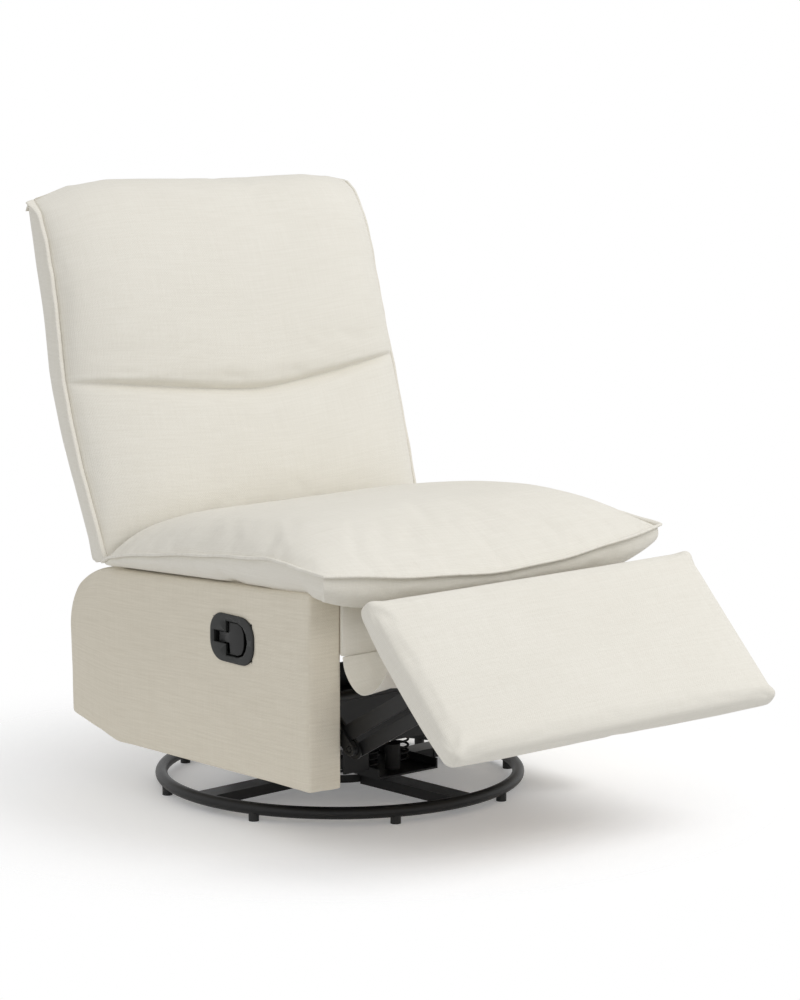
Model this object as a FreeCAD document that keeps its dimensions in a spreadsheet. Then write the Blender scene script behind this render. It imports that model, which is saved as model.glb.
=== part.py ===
import FreeCAD, Part
import math
import os
import re
import Sketcher

# An armless swivel rocker recliner with its footrest raised. Millimetres, +Z up. The origin is on the
# floor on the swivel axis, and the chair faces -Y, so the sitter's right hand is at -X.

Vector = FreeCAD.Vector
Rotation = FreeCAD.Rotation
Placement = FreeCAD.Placement

DIMENSIONS = {
    # round base
    "ring_radius": 280,
    "ring_tube_radius": 9.5,
    "glide_height": 9.5,
    "glide_radius": 8,
    "glide_grip": 4,
    "glide_count": 8,
    "glide_turn": 23,
    "arm_count": 4,
    "arm_width": 38,
    "arm_height": 16,
    "arm_turn": 3,
    "hub_radius": 70,
    "hub_bottom": 14,
    "hub_top": 30,
    # swivel bearing
    "ball_circle": 62,
    "ball_radius": 4,
    "ball_count": 24,
    "ball_clearance": 0.05,
    "race_inner": 42,
    "race_outer": 84,
    "race_thickness": 4,
    "race_gap": 4,
    "cage_thickness": 2,
    "cage_width": 16,
    "cage_clearance": 0.3,
    "king_radius": 8,
    "king_head_radius": 13,
    "king_head_height": 6,
    "king_nut_height": 8,
    # rocker
    "steel": 3,
    "cradle_half_width": 60,
    "cradle_half_length": 165,
    "cradle_lip": 13,
    "ear_radius": 16,
    "rock_axis_z": 75,
    "rock_shaft_radius": 8,
    "rock_collar_radius": 14,
    "rock_collar_width": 7,
    "running_clearance": 0.05,
    "side_gap": 3,
    "bushing_wall": 3,
    "saddle_half_width": 115,
    "saddle_half_length": 150,
    "saddle_top": 108,
    "saddle_leg": 52,
    "saddle_lip": 10,
    "rock_spring_radius": 13,
    "rock_spring_wire": 1.8,
    "rock_spring_turns": 6,
    "rock_spring_x": 30,
    "rock_spring_y": 110,
    "spring_seat_gap": 0.1,
    "rock_stop_radius": 12,
    "rock_stop_y": 128,
    "rock_stop_height": 39,
    # side panels
    "panel_outer": 317,
    "panel_inner": 257,
    "panel_board": 30,
    "panel_edge": 12,
    "panel_front": 316,
    "panel_front_top": 385,
    "panel_front_bottom": 88,
    "panel_heel_y": 160,
    "panel_heel_z": 81,
    "panel_rear_bottom_y": 278,
    "panel_rear_bottom_z": 110,
    "panel_rear_y": 286,
    "panel_rear_top": 348,
    "panel_rear_round": 112,
    # steel side plates and what crosses between them
    "plate_front": 222,
    "plate_top": 306,
    "plate_nose_z": 232,
    "plate_foot_y": 160,
    "plate_rear": 196,
    "plate_rear_low_z": 205,
    "plate_rear_high_z": 275,
    "plate_bolt_radius": 4,
    "plate_bolt_head": 7,
    "plate_bolt_y": 120,
    "plate_bolt_low_z": 130,
    "plate_bolt_high_z": 280,
    "bolt_grip": 23,
    "bolt_head_height": 3,
    "cross_rail_flange": 32,
    "front_rail_web": 65,
    "rear_rail_web": 42,
    # seat frame
    "rail_thickness": 22,
    "front_rail_bottom": 288,
    "front_rail_top": 378,
    "rear_rail_y": 140,
    "rear_rail_bottom": 300,
    "rear_rail_top": 350,
    "rail_cover_thickness": 6,
    "rail_cover_bottom": 286,
    "rail_cover_top": 356,
    "seat_spring_count": 5,
    "seat_spring_spacing": 96,
    "seat_spring_wire": 1.9,
    "seat_spring_swing": 20,
    "seat_spring_bends": 13,
    "seat_spring_bend_radius": 9,
    "seat_spring_end": 18,
    "clip_width": 16,
    "clip_height": 5,
    "clip_inset": 2,
    # seat cushion
    "cushion_half_width": 330,
    "cushion_rear_y": 150,
    "cushion_crown_z": 488,
    "cushion_crown_y": 110,
    "cushion_rear_top": 414,
    "seam_front_y": 361,
    "seam_front_z": 419,
    "seam_front_bulge": 25,
    "seam_front_sag": 30,
    "seam_crest_z": 424,
    "seam_rear_z": 367,
    "nose_bottom": 358,
    "nose_depth": 18,
    "soft_gap": 0.4,
    "cushion_edge": 5,
    # backrest
    "back_lean": 16.4,
    "back_foot_y": 186.4,
    "back_foot_z": 381,
    "back_half_width": 322,
    "back_bottom": 16,
    "back_height": 566,
    "back_upper_crown": 58,
    "back_lower_crown": 46,
    "back_least_crown": 2,
    "back_top_roll": 14,
    "back_seam_middle": 220,
    "back_seam_rise": 40,
    "back_channel": 14,
    "back_pad_rear": 14,
    "back_strap": 2,
    "back_strap_width": 50,
    "back_strap_count": 4,
    "back_strap_first": 90,
    "back_strap_step": 100,
    "upright_depth": 28,
    "upright_width": 40,
    "upright_top": 520,
    "back_rail_height": 42,
    "back_boxing_half_width": 319,
    "outside_back_thickness": 4,
    "back_tail": 118,
    "recline_y": 173,
    "recline_z": 243,
    "recline_bolt_radius": 6,
    "recline_bolt_head": 11,
    "back_bracket_thickness": 5,
    "back_bracket_half_width": 9.5,
    "back_bracket_reach": 180,
    "link_gap": 0.5,
    # footrest and its linkage, as it stands in the photograph
    "footrest_lean": 45,
    "footrest_edge_y": -402,
    "footrest_edge_z": 353,
    "footrest_half_width": 318,
    "footrest_length": 281,
    "footrest_thickness": 60,
    "footrest_crown": 6,
    "footrest_round": 18,
    "footrest_board": 16,
    "footrest_margin": 40,
    "footrest_tuck": 26,
    "bracket_pivot_along": 120,
    "bracket_pivot_behind": 18,
    "stay_pivot_along": 150.35,
    "stay_pivot_behind": 14.75,
    "bracket_start": 85,
    "bracket_end": 185,
    "bracket_ear": 30,
    "bracket_flange": 28,
    "drive_pivot_y": -160,
    "drive_pivot_z": 283,
    "drive_link_length": 190,
    "drive_link_tail": 30,
    "extension_link_length": 190,
    "control_pivot_y": -199.9,
    "control_pivot_z": 252.8,
    "control_pin_along": 11.5,
    "control_pin_across": 24,
    "link_thickness": 4,
    "link_step": 5,
    "link_half_width": 12,
    "small_link_half_width": 10,
    "pin_radius": 4,
    "control_end_clearance": 1.6,
    "stay_end_clearance": 1.0,
    "torque_tube_radius": 12,
    "torque_spigot_radius": 7,
    "crossbar_along": 120,
    "crossbar_radius": 8,
    "gap_cover_half_width": 252,
    "gap_cover_thickness": 1.6,
    "gap_cover_low_z": 231,
    "gap_cover_low_y": -352,
    "gap_cover_low_width": 22,
    "gap_cover_end_along": 50,
    "gap_cover_round": 9,
    # release handle
    "bezel_y": -140,
    "bezel_z": 292,
    "bezel_length": 104,
    "bezel_height": 70,
    "bezel_round": 30,
    "bezel_flange": 3,
    "cup_length": 88,
    "cup_height": 52,
    "cup_round": 16,
    "cup_depth": 26,
    "cup_wall": 2.5,
    "lever_pin_y": -109,
    "lever_pin_inset": 12,
    "lever_pin_radius": 3,
    "lever_barrel_radius": 6,
    "lever_barrel_height": 20,
    "lever_stem_height": 16,
    "lever_paddle_rear": -130,
    "lever_paddle_front": -164,
    "lever_paddle_height": 46,
    "lever_thickness": 7,
    "lever_spring_radius": 5,
    "lever_spring_wire": 0.7,
    "lever_spring_turns": 3,
    "lever_spring_pitch": 2.4,
}

doc = FreeCAD.newDocument("swivel_recliner")
sheet = doc.addObject("Spreadsheet::Sheet", "dims")


def add_cells(cells):
    """Put named plain numbers on the sheet, below the ones it already holds."""
    for name, number in cells.items():
        row = len(aliases) + 1
        sheet.set("A%d" % row, name)
        sheet.set("B%d" % row, repr(float(number)))
        sheet.setAlias("B%d" % row, name)
        aliases.append(name)
    doc.recompute()


def size(name):
    """The number in a named cell."""
    return float(sheet.get(name))


aliases = []
add_cells(DIMENSIONS)

# Rest places that follow from the driving sizes


def turned(along, across, angle):
    """A step along and across a direction in the YZ plane, as its Y and Z parts."""
    y = along * math.cos(angle) - across * math.sin(angle)
    z = along * math.sin(angle) + across * math.cos(angle)
    return y, z


def footrest_place(along, behind):
    """Y and Z of a place on the footrest, along its board from the upper edge and behind its back."""
    down = math.radians(270 - size("footrest_lean"))
    y, z = turned(along, behind, down)
    return size("footrest_edge_y") + y, size("footrest_edge_z") + z


def linkage_places():
    """Pivots of the footrest linkage at rest, and each link's direction in degrees."""
    pivot_y = size("drive_pivot_y")
    pivot_z = size("drive_pivot_z")
    drive = size("drive_link_length")
    extension = size("extension_link_length")
    foot_y, foot_z = footrest_place(size("bracket_pivot_along"), size("bracket_pivot_behind"))
    stay_y, stay_z = footrest_place(size("stay_pivot_along"), size("stay_pivot_behind"))
    reach = math.hypot(foot_y - pivot_y, foot_z - pivot_z)
    elbow_angle = math.acos((drive ** 2 + reach ** 2 - extension ** 2) / (2 * drive * reach))
    drive_angle = math.atan2(foot_z - pivot_z, foot_y - pivot_y) + elbow_angle
    elbow_y = pivot_y + drive * math.cos(drive_angle)
    elbow_z = pivot_z + drive * math.sin(drive_angle)
    tail_y = pivot_y + (drive + size("drive_link_tail")) * math.cos(drive_angle)
    tail_z = pivot_z + (drive + size("drive_link_tail")) * math.sin(drive_angle)
    bar_y = pivot_y + size("crossbar_along") * math.cos(drive_angle)
    bar_z = pivot_z + size("crossbar_along") * math.sin(drive_angle)
    extension_angle = math.atan2(foot_z - elbow_z, foot_y - elbow_y)
    step_y, step_z = turned(size("control_pin_along"), size("control_pin_across"), extension_angle)
    pin_y = elbow_y + step_y
    pin_z = elbow_z + step_z
    control_y = pin_y - size("control_pivot_y")
    control_z = pin_z - size("control_pivot_z")
    return {
        "foot_pivot_y": foot_y,
        "foot_pivot_z": foot_z,
        "stay_pivot_y": stay_y,
        "stay_pivot_z": stay_z,
        "elbow_y": elbow_y,
        "elbow_z": elbow_z,
        "tail_y": tail_y,
        "tail_z": tail_z,
        "crossbar_y": bar_y,
        "crossbar_z": bar_z,
        "control_pin_y": pin_y,
        "control_pin_z": pin_z,
        "drive_turn": math.degrees(drive_angle),
        "extension_turn": math.degrees(extension_angle),
        "lug_turn": math.degrees(math.atan2(step_z, step_y)),
        "lug_length": math.hypot(step_y, step_z),
        "control_turn": math.degrees(math.atan2(control_z, control_y)),
        "control_length": math.hypot(control_y, control_z),
        "stay_turn": math.degrees(math.atan2(stay_z - tail_z, stay_y - tail_y)),
        "stay_length": math.hypot(stay_y - tail_y, stay_z - tail_z),
    }


def panel_top(y):
    """Height of the side panels' straight top edge at a place along the seat."""
    run = size("panel_rear_y") + size("panel_front")
    share = (y + size("panel_front")) / run
    return size("panel_front_top") + share * (size("panel_rear_top") - size("panel_front_top"))


def recline_in_back():
    """How far the recline pivot lies below the backrest's foot and behind its seam plane."""
    lean = math.radians(size("back_lean"))
    y = size("recline_y") - size("back_foot_y")
    z = size("recline_z") - size("back_foot_z")
    return {
        "recline_height": y * math.sin(lean) + z * math.cos(lean),
        "recline_depth": y * math.cos(lean) - z * math.sin(lean),
    }


add_cells(linkage_places())
add_cells(recline_in_back())

# Ways of making pieces

nodes = []


def bind(thing, path, expression):
    """Bind a property to an expression written with the sheet's names."""
    text = re.sub(r"[a-z_]+", lambda word: named(word.group()), expression)
    thing.setExpression(path, text)


def named(word):
    """A name on the sheet as an expression reads it, and any other word as it is."""
    return "dims." + word if word in aliases else word


def node(label, thing):
    """Keep a finished sub-part under its label."""
    thing.Label = label
    nodes.append(thing)
    return thing


def box(name, x, y, z):
    """A block between a low and a high place along each axis."""
    block = doc.addObject("Part::Box", name)
    for length, axis, (low, high) in zip(("Length", "Width", "Height"), "xyz", (x, y, z)):
        bind(block, length, "(%s) - (%s)" % (high, low))
        bind(block, "Placement.Base." + axis, low)
    return block


def leaned_box(name, frame, x, depth, height):
    """A block in the leaned frame of the back or the footrest: depth runs behind it, height up it."""
    block = doc.addObject("Part::Box", name)
    for length, (low, high) in zip(("Length", "Width", "Height"), (x, depth, height)):
        bind(block, length, "(%s) - (%s)" % (high, low))
    block.Placement = Placement(Vector(), Rotation(Vector(-1, 0, 0), size(frame["lean"])))
    low = {"lean": frame["lean"], "depth": depth[0], "height": height[0]}
    step_y = " + (%(depth)s) * cos(%(lean)s) + (%(height)s) * sin(%(lean)s)" % low
    step_z = " - (%(depth)s) * sin(%(lean)s) + (%(height)s) * cos(%(lean)s)" % low
    bind(block, "Placement.Rotation.Angle", frame["lean"])
    bind(block, "Placement.Base.x", x[0])
    bind(block, "Placement.Base.y", frame["y"] + step_y)
    bind(block, "Placement.Base.z", frame["z"] + step_z)
    return block


BACK = {"lean": "back_lean", "y": "back_foot_y", "z": "back_foot_z"}
FOOTREST = {"lean": "footrest_lean", "y": "footrest_edge_y", "z": "footrest_edge_z"}

ALONG = {
    "x": Rotation(Vector(0, 1, 0), 90),
    "y": Rotation(Vector(1, 0, 0), -90),
    "z": Rotation(),
}


def rod(name, axis, radius, start, end, across):
    """A round bar along one axis, with its two other coordinates in the axes' order."""
    bar = doc.addObject("Part::Cylinder", name)
    bind(bar, "Radius", radius)
    bind(bar, "Height", "(%s) - (%s)" % (end, start))
    bar.Placement = Placement(Vector(), ALONG[axis])
    places = list(across)
    places.insert("xyz".index(axis), start)
    for letter, place in zip("xyz", places):
        bind(bar, "Placement.Base." + letter, place)
    return bar


def torus(name, radius, tube, height):
    """A level ring about the swivel axis."""
    ring = doc.addObject("Part::Torus", name)
    bind(ring, "Radius1", radius)
    bind(ring, "Radius2", tube)
    bind(ring, "Placement.Base.z", height)
    return ring


def fuse(name, *pieces):
    """Pieces made as one."""
    joined = doc.addObject("Part::MultiFuse", name)
    joined.Shapes = list(pieces)
    joined.Refine = True
    return joined


def cut(name, piece, *tools):
    """A piece less the tools."""
    for number, tool in enumerate(tools):
        less = doc.addObject("Part::Cut", "%s_%d" % (name, number))
        less.Base = piece
        less.Tool = tool
        piece = less
    return piece


def group(name, *pieces):
    """Separate solids that share one sub-part."""
    set_of = doc.addObject("Part::Compound", name)
    set_of.Links = list(pieces)
    return set_of


def mirrored(piece):
    """The same piece on the other side of the chair."""
    other = doc.addObject("Part::Mirroring", piece.Name + "_other")
    other.Source = piece
    other.Normal = Vector(1, 0, 0)
    return other


def pair(name, piece):
    """A piece and its mirror image."""
    return group(name, piece, mirrored(piece))


def solid(name, shape):
    """A sub-part whose shape is worked out from the sheet's numbers."""
    feature = doc.addObject("Part::Feature", name)
    feature.Shape = shape
    return feature


def turned_copies(name, count, first_turn, shape_at):
    """Copies of a piece at even turns about the swivel axis."""
    copies = []
    for number in range(int(size(count))):
        piece = shape_at("%s_%d" % (name, number))
        turn = size(first_turn) + number * 360.0 / int(size(count))
        carrier = Placement(Vector(), Rotation(Vector(0, 0, 1), turn))
        holder = doc.addObject("Part::Compound", "%s_turned_%d" % (name, number))
        holder.Links = [piece]
        holder.Placement = carrier
        copies.append(holder)
    return group(name, *copies)


def plane_of(body, role):
    """One of a body's own origin planes."""
    return next(plane for plane in body.Origin.OriginFeatures if plane.Role == role)


def outline_sketch(body, role, corners, holes=()):
    """A straight-sided outline with round holes, each place bound to the sheet."""
    sketch = body.newObject("Sketcher::SketchObject", body.Name + "_sketch")
    sketch.AttachmentSupport = (plane_of(body, role), [""])
    sketch.MapMode = "FlatFace"
    count = len(corners)
    spots = []
    for number in range(count):
        angle = 2 * math.pi * number / count
        spots.append(Vector(100 * math.cos(angle), 100 * math.sin(angle), 0))
    for number in range(count):
        sketch.addGeometry(Part.LineSegment(spots[number], spots[(number + 1) % count]), False)
    for number in range(count):
        sketch.addConstraint(Sketcher.Constraint("Coincident", number, 2, (number + 1) % count, 1))
    for number, (across, up) in enumerate(corners):
        hold(sketch, "DistanceX", (number, 1), spots[number].x, across)
        hold(sketch, "DistanceY", (number, 1), spots[number].y, up)
    for across, up, radius in holes:
        add_hole(sketch, across, up, radius)
    return sketch


def hold(sketch, kind, point, start, expression):
    """Hold one coordinate of a sketch point at a place given by the sheet."""
    index = sketch.addConstraint(Sketcher.Constraint(kind, -1, 1, point[0], point[1], start))
    bind(sketch, "Constraints[%d]" % index, expression)


def add_hole(sketch, across, up, radius):
    """A round hole at a place given by the sheet."""
    circle = sketch.addGeometry(Part.Circle(Vector(1, 1, 0), Vector(0, 0, 1), 5), False)
    hold(sketch, "DistanceX", (circle, 3), 1, across)
    hold(sketch, "DistanceY", (circle, 3), 1, up)
    index = sketch.addConstraint(Sketcher.Constraint("Radius", circle, 5))
    bind(sketch, "Constraints[%d]" % index, radius)


def pad(body, sketch, length):
    """Thicken a sketch."""
    feature = body.newObject("PartDesign::Pad", body.Name + "_pad")
    feature.Profile = sketch
    bind(feature, "Length", length)
    return feature


def upright_plate(name, corners, holes, inner, thickness):
    """A plate that stands in the YZ plane, on the +X side, from its inner face outwards."""
    body = doc.addObject("PartDesign::Body", name)
    pad(body, outline_sketch(body, "YZ_Plane", corners, holes), thickness)
    bind(body, "Placement.Base.x", inner)
    return body


def spun(name, corners):
    """A piece turned about the swivel axis from its radius and height outline."""
    body = doc.addObject("PartDesign::Body", name)
    sketch = outline_sketch(body, "XZ_Plane", corners)
    turn = body.newObject("PartDesign::Revolution", name + "_turn")
    turn.Profile = sketch
    turn.ReferenceAxis = (sketch, ["V_Axis"])
    turn.Angle = 360
    return body


def link(name, length, half_width, thickness, holes, place, turn, inner):
    """A flat bar with round ends and pivot holes along it, lying in the YZ plane at a turn."""
    body = doc.addObject("PartDesign::Body", name)
    sketch = body.newObject("Sketcher::SketchObject", name + "_sketch")
    sketch.AttachmentSupport = (plane_of(body, "XY_Plane"), [""])
    sketch.MapMode = "FlatFace"
    reach = 100.0
    half = 10.0
    quarter = math.pi / 2
    up = Vector(0, 0, 1)
    sketch.addGeometry(Part.ArcOfCircle(Part.Circle(Vector(), up, half), quarter, 3 * quarter), False)
    sketch.addGeometry(Part.ArcOfCircle(Part.Circle(Vector(reach, 0, 0), up, half), -quarter, quarter), False)
    sketch.addGeometry(Part.LineSegment(Vector(0, half, 0), Vector(reach, half, 0)), False)
    sketch.addGeometry(Part.LineSegment(Vector(reach, -half, 0), Vector(0, -half, 0)), False)
    sketch.addConstraint(Sketcher.Constraint("Coincident", 0, 3, -1, 1))
    sketch.addConstraint(Sketcher.Constraint("PointOnObject", 1, 3, -1))
    sketch.addConstraint(Sketcher.Constraint("Tangent", 0, 1, 2, 1))
    sketch.addConstraint(Sketcher.Constraint("Tangent", 2, 2, 1, 2))
    sketch.addConstraint(Sketcher.Constraint("Tangent", 1, 1, 3, 1))
    sketch.addConstraint(Sketcher.Constraint("Tangent", 3, 2, 0, 2))
    sketch.addConstraint(Sketcher.Constraint("Equal", 0, 1))
    radius = sketch.addConstraint(Sketcher.Constraint("Radius", 0, half))
    bind(sketch, "Constraints[%d]" % radius, half_width)
    hold(sketch, "DistanceX", (1, 3), reach, length)
    for along, hole_radius in holes:
        add_hole(sketch, along, "0", hole_radius)
    pad(body, sketch, thickness)
    angle = math.radians(size(turn))
    forward = Vector(0, math.cos(angle), math.sin(angle))
    sideways = Vector(0, -math.sin(angle), math.cos(angle))
    body.Placement = Placement(Vector(), Rotation(forward, sideways, Vector(1, 0, 0), "XYZ"))
    for letter, expression in zip("xyz", (inner,) + place):
        bind(body, "Placement.Base." + letter, expression)
    return body


def rounded(name, piece, radius, edges):
    """A piece with some of its edges rounded, picked by a test on each edge."""
    doc.recompute()
    feature = doc.addObject("Part::Fillet", name)
    feature.Base = piece
    picked = []
    for number, edge in enumerate(piece.Shape.Edges):
        if edges(edge):
            picked.append((number + 1, size(radius), size(radius)))
    feature.Edges = picked
    return feature


def runs_along(axis):
    """A test for straight edges along X, Y or Z."""
    def test(edge):
        run = edge.Vertexes[-1].Point - edge.Vertexes[0].Point
        parts = {"x": run.x, "y": run.y, "z": run.z}
        return abs(parts.pop(axis)) > 1 and max(abs(part) for part in parts.values()) < 1e-6
    return test


def closed_wire(start, *steps):
    """A closed outline: a step is a point for a straight line, or a pair for an arc and its end."""
    edges = []
    here = start
    for step in steps:
        if isinstance(step, tuple):
            edges.append(Part.Arc(here, step[0], step[1]).toShape())
            here = step[1]
        else:
            edges.append(Part.LineSegment(here, step).toShape())
            here = step
    edges.append(Part.LineSegment(here, start).toShape())
    return Part.Wire(edges)


def bent_path(points, radius):
    """Straight runs through the points, with a tangent arc at each bend."""
    edges = []
    here = points[0]
    for before, corner, after in zip(points, points[1:], points[2:]):
        back = (before - corner).normalize()
        on = (after - corner).normalize()
        half = back.getAngle(on) / 2
        reach = radius / math.tan(half)
        middle = corner + (back + on).normalize() * (radius / math.sin(half) - radius)
        start = corner + back * reach
        end = corner + on * reach
        edges.append(Part.LineSegment(here, start).toShape())
        edges.append(Part.Arc(start, middle, end).toShape())
        here = end
    edges.append(Part.LineSegment(here, points[-1]).toShape())
    return Part.Wire(edges)


def swept(path, section):
    """A solid with one section all along a path."""
    return path.makePipeShell([section], True, False)


def wire_solid(path, radius):
    """A round wire along a path."""
    first = path.Edges[0]
    start = first.valueAt(first.FirstParameter)
    way = first.tangentAt(first.FirstParameter)
    return swept(path, Part.Wire(Part.Circle(start, way, radius).toShape()))


def biarc(start, start_way, end, end_way):
    """Two arcs that leave one point and reach another along given directions."""
    chord = end - start
    ways = start_way + end_way
    spread = 2 * (1 - start_way.dot(end_way))
    lean = chord.dot(ways)
    reach = (math.sqrt(lean ** 2 + spread * chord.dot(chord)) - lean) / spread
    first = start + start_way * reach
    second = end - end_way * reach
    joint = (first + second) * 0.5
    return [corner_arc(start, first, joint), corner_arc(joint, second, end)]


def corner_arc(start, corner, end):
    """The arc that touches both lines of a corner at equal distances from it."""
    middle = (start + end) * 0.5
    half_chord = (end - start).Length / 2
    slope = math.acos(half_chord / (corner - start).Length)
    rise = half_chord * math.tan(slope / 2)
    return Part.Arc(start, middle + (corner - middle).normalize() * rise, end).toShape()


def coil(radius, wire, turns, pitch):
    """A coil spring about Z that climbs from the origin's level, as one unbroken wire."""
    edges = []
    climb = pitch / (2 * math.pi)
    quarters = int(4 * turns)

    def spot(number):
        angle = number * math.pi / 2
        way = Vector(-radius * math.sin(angle), radius * math.cos(angle), climb).normalize()
        return Vector(radius * math.cos(angle), radius * math.sin(angle), climb * angle), way

    for number in range(quarters):
        start, start_way = spot(number)
        end, end_way = spot(number + 1)
        edges.extend(biarc(start, start_way, end, end_way))
    print("coil gap between turns: %.2f" % (pitch - 2 * wire))
    return wire_solid(Part.Wire(edges), wire)


# Round base: ring, arms, hub and glides


def base():
    ring_height = "glide_height + ring_tube_radius"
    ring = node("base_ring", torus("base_ring", "ring_radius", "ring_tube_radius", ring_height))
    hub = node("base_hub", spun("base_hub", (
        ("king_radius + running_clearance", "hub_bottom"),
        ("hub_radius", "hub_bottom"),
        ("hub_radius", "hub_top"),
        ("king_radius + running_clearance", "hub_top"),
    )))

    def arm(name):
        return box(
            name,
            ("0", "ring_radius"),
            ("-arm_width / 2", "arm_width / 2"),
            (ring_height + " - arm_height / 2", ring_height + " + arm_height / 2"),
        )

    core = rod("hub_space", "z", "hub_radius", "0", "2 * hub_top", ("0", "0"))

    def fitted_arm(name):
        return cut(name + "_end", arm(name), core, ring)

    node("base_arms", turned_copies("base_arms", "arm_count", "arm_turn", fitted_arm))

    def glide(name):
        foot = rod(name, "z", "glide_radius", "0", "glide_height + glide_grip", ("ring_radius", "0"))
        return cut(name + "_cup", foot, ring)

    node("base_glides", turned_copies("base_glides", "glide_count", "glide_turn", glide))


# Swivel bearing: two grooved races, caged balls and the king bolt


def swivel_bearing():
    ball_height = "hub_top + race_thickness + race_gap / 2"
    groove = torus("ball_groove", "ball_circle", "ball_radius + ball_clearance", ball_height)
    lower = spun("lower_race_blank", (
        ("race_inner", "hub_top"),
        ("race_outer", "hub_top"),
        ("race_outer", "hub_top + race_thickness"),
        ("race_inner", "hub_top + race_thickness"),
    ))
    node("swivel_lower_race", cut("swivel_lower_race", lower, groove))
    upper = spun("upper_race_blank", (
        ("king_radius", "hub_top + race_thickness + race_gap"),
        ("race_outer", "hub_top + race_thickness + race_gap"),
        ("race_outer", "hub_top + 2 * race_thickness + race_gap"),
        ("king_radius", "hub_top + 2 * race_thickness + race_gap"),
    ))
    node("swivel_upper_race", cut("swivel_upper_race", upper, groove))

    def ball(name):
        sphere = doc.addObject("Part::Sphere", name)
        bind(sphere, "Radius", "ball_radius")
        bind(sphere, "Placement.Base.x", "ball_circle")
        bind(sphere, "Placement.Base.z", ball_height)
        return sphere

    def pocket(name):
        return rod(name, "z", "ball_radius + cage_clearance", "hub_top", "2 * hub_top", ("ball_circle", "0"))

    node("bearing_balls", turned_copies("bearing_balls", "ball_count", "arm_turn", ball))
    ring = spun("cage_blank", (
        ("ball_circle - cage_width / 2", ball_height + " - cage_thickness / 2"),
        ("ball_circle + cage_width / 2", ball_height + " - cage_thickness / 2"),
        ("ball_circle + cage_width / 2", ball_height + " + cage_thickness / 2"),
        ("ball_circle - cage_width / 2", ball_height + " + cage_thickness / 2"),
    ))
    pockets = turned_copies("cage_pockets", "ball_count", "arm_turn", pocket)
    node("ball_cage", cut("ball_cage", ring, pockets))
    head_top = "hub_bottom - soft_gap"
    nut_top = CRADLE_FLOOR + " + king_nut_height"
    bolt = fuse(
        "king_bolt_one",
        rod("king_head", "z", "king_head_radius", head_top + " - king_head_height", head_top, ("0", "0")),
        rod("king_shank", "z", "king_radius", head_top, nut_top, ("0", "0")),
    )
    nut = cut(
        "king_nut",
        rod("king_nut_blank", "z", "king_head_radius", CRADLE_FLOOR, nut_top, ("0", "0")),
        rod("king_nut_bore", "z", "king_radius", CRADLE_FLOOR, nut_top, ("0", "0")),
    )
    node("king_bolt", group("king_bolt_set", bolt, nut))


CRADLE_BOTTOM = "hub_top + 2 * race_thickness + race_gap"
CRADLE_FLOOR = CRADLE_BOTTOM + " + steel"


# Rocker: cradle on the bearing, saddle under the seat, shaft, bushings, springs and stops


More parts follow.
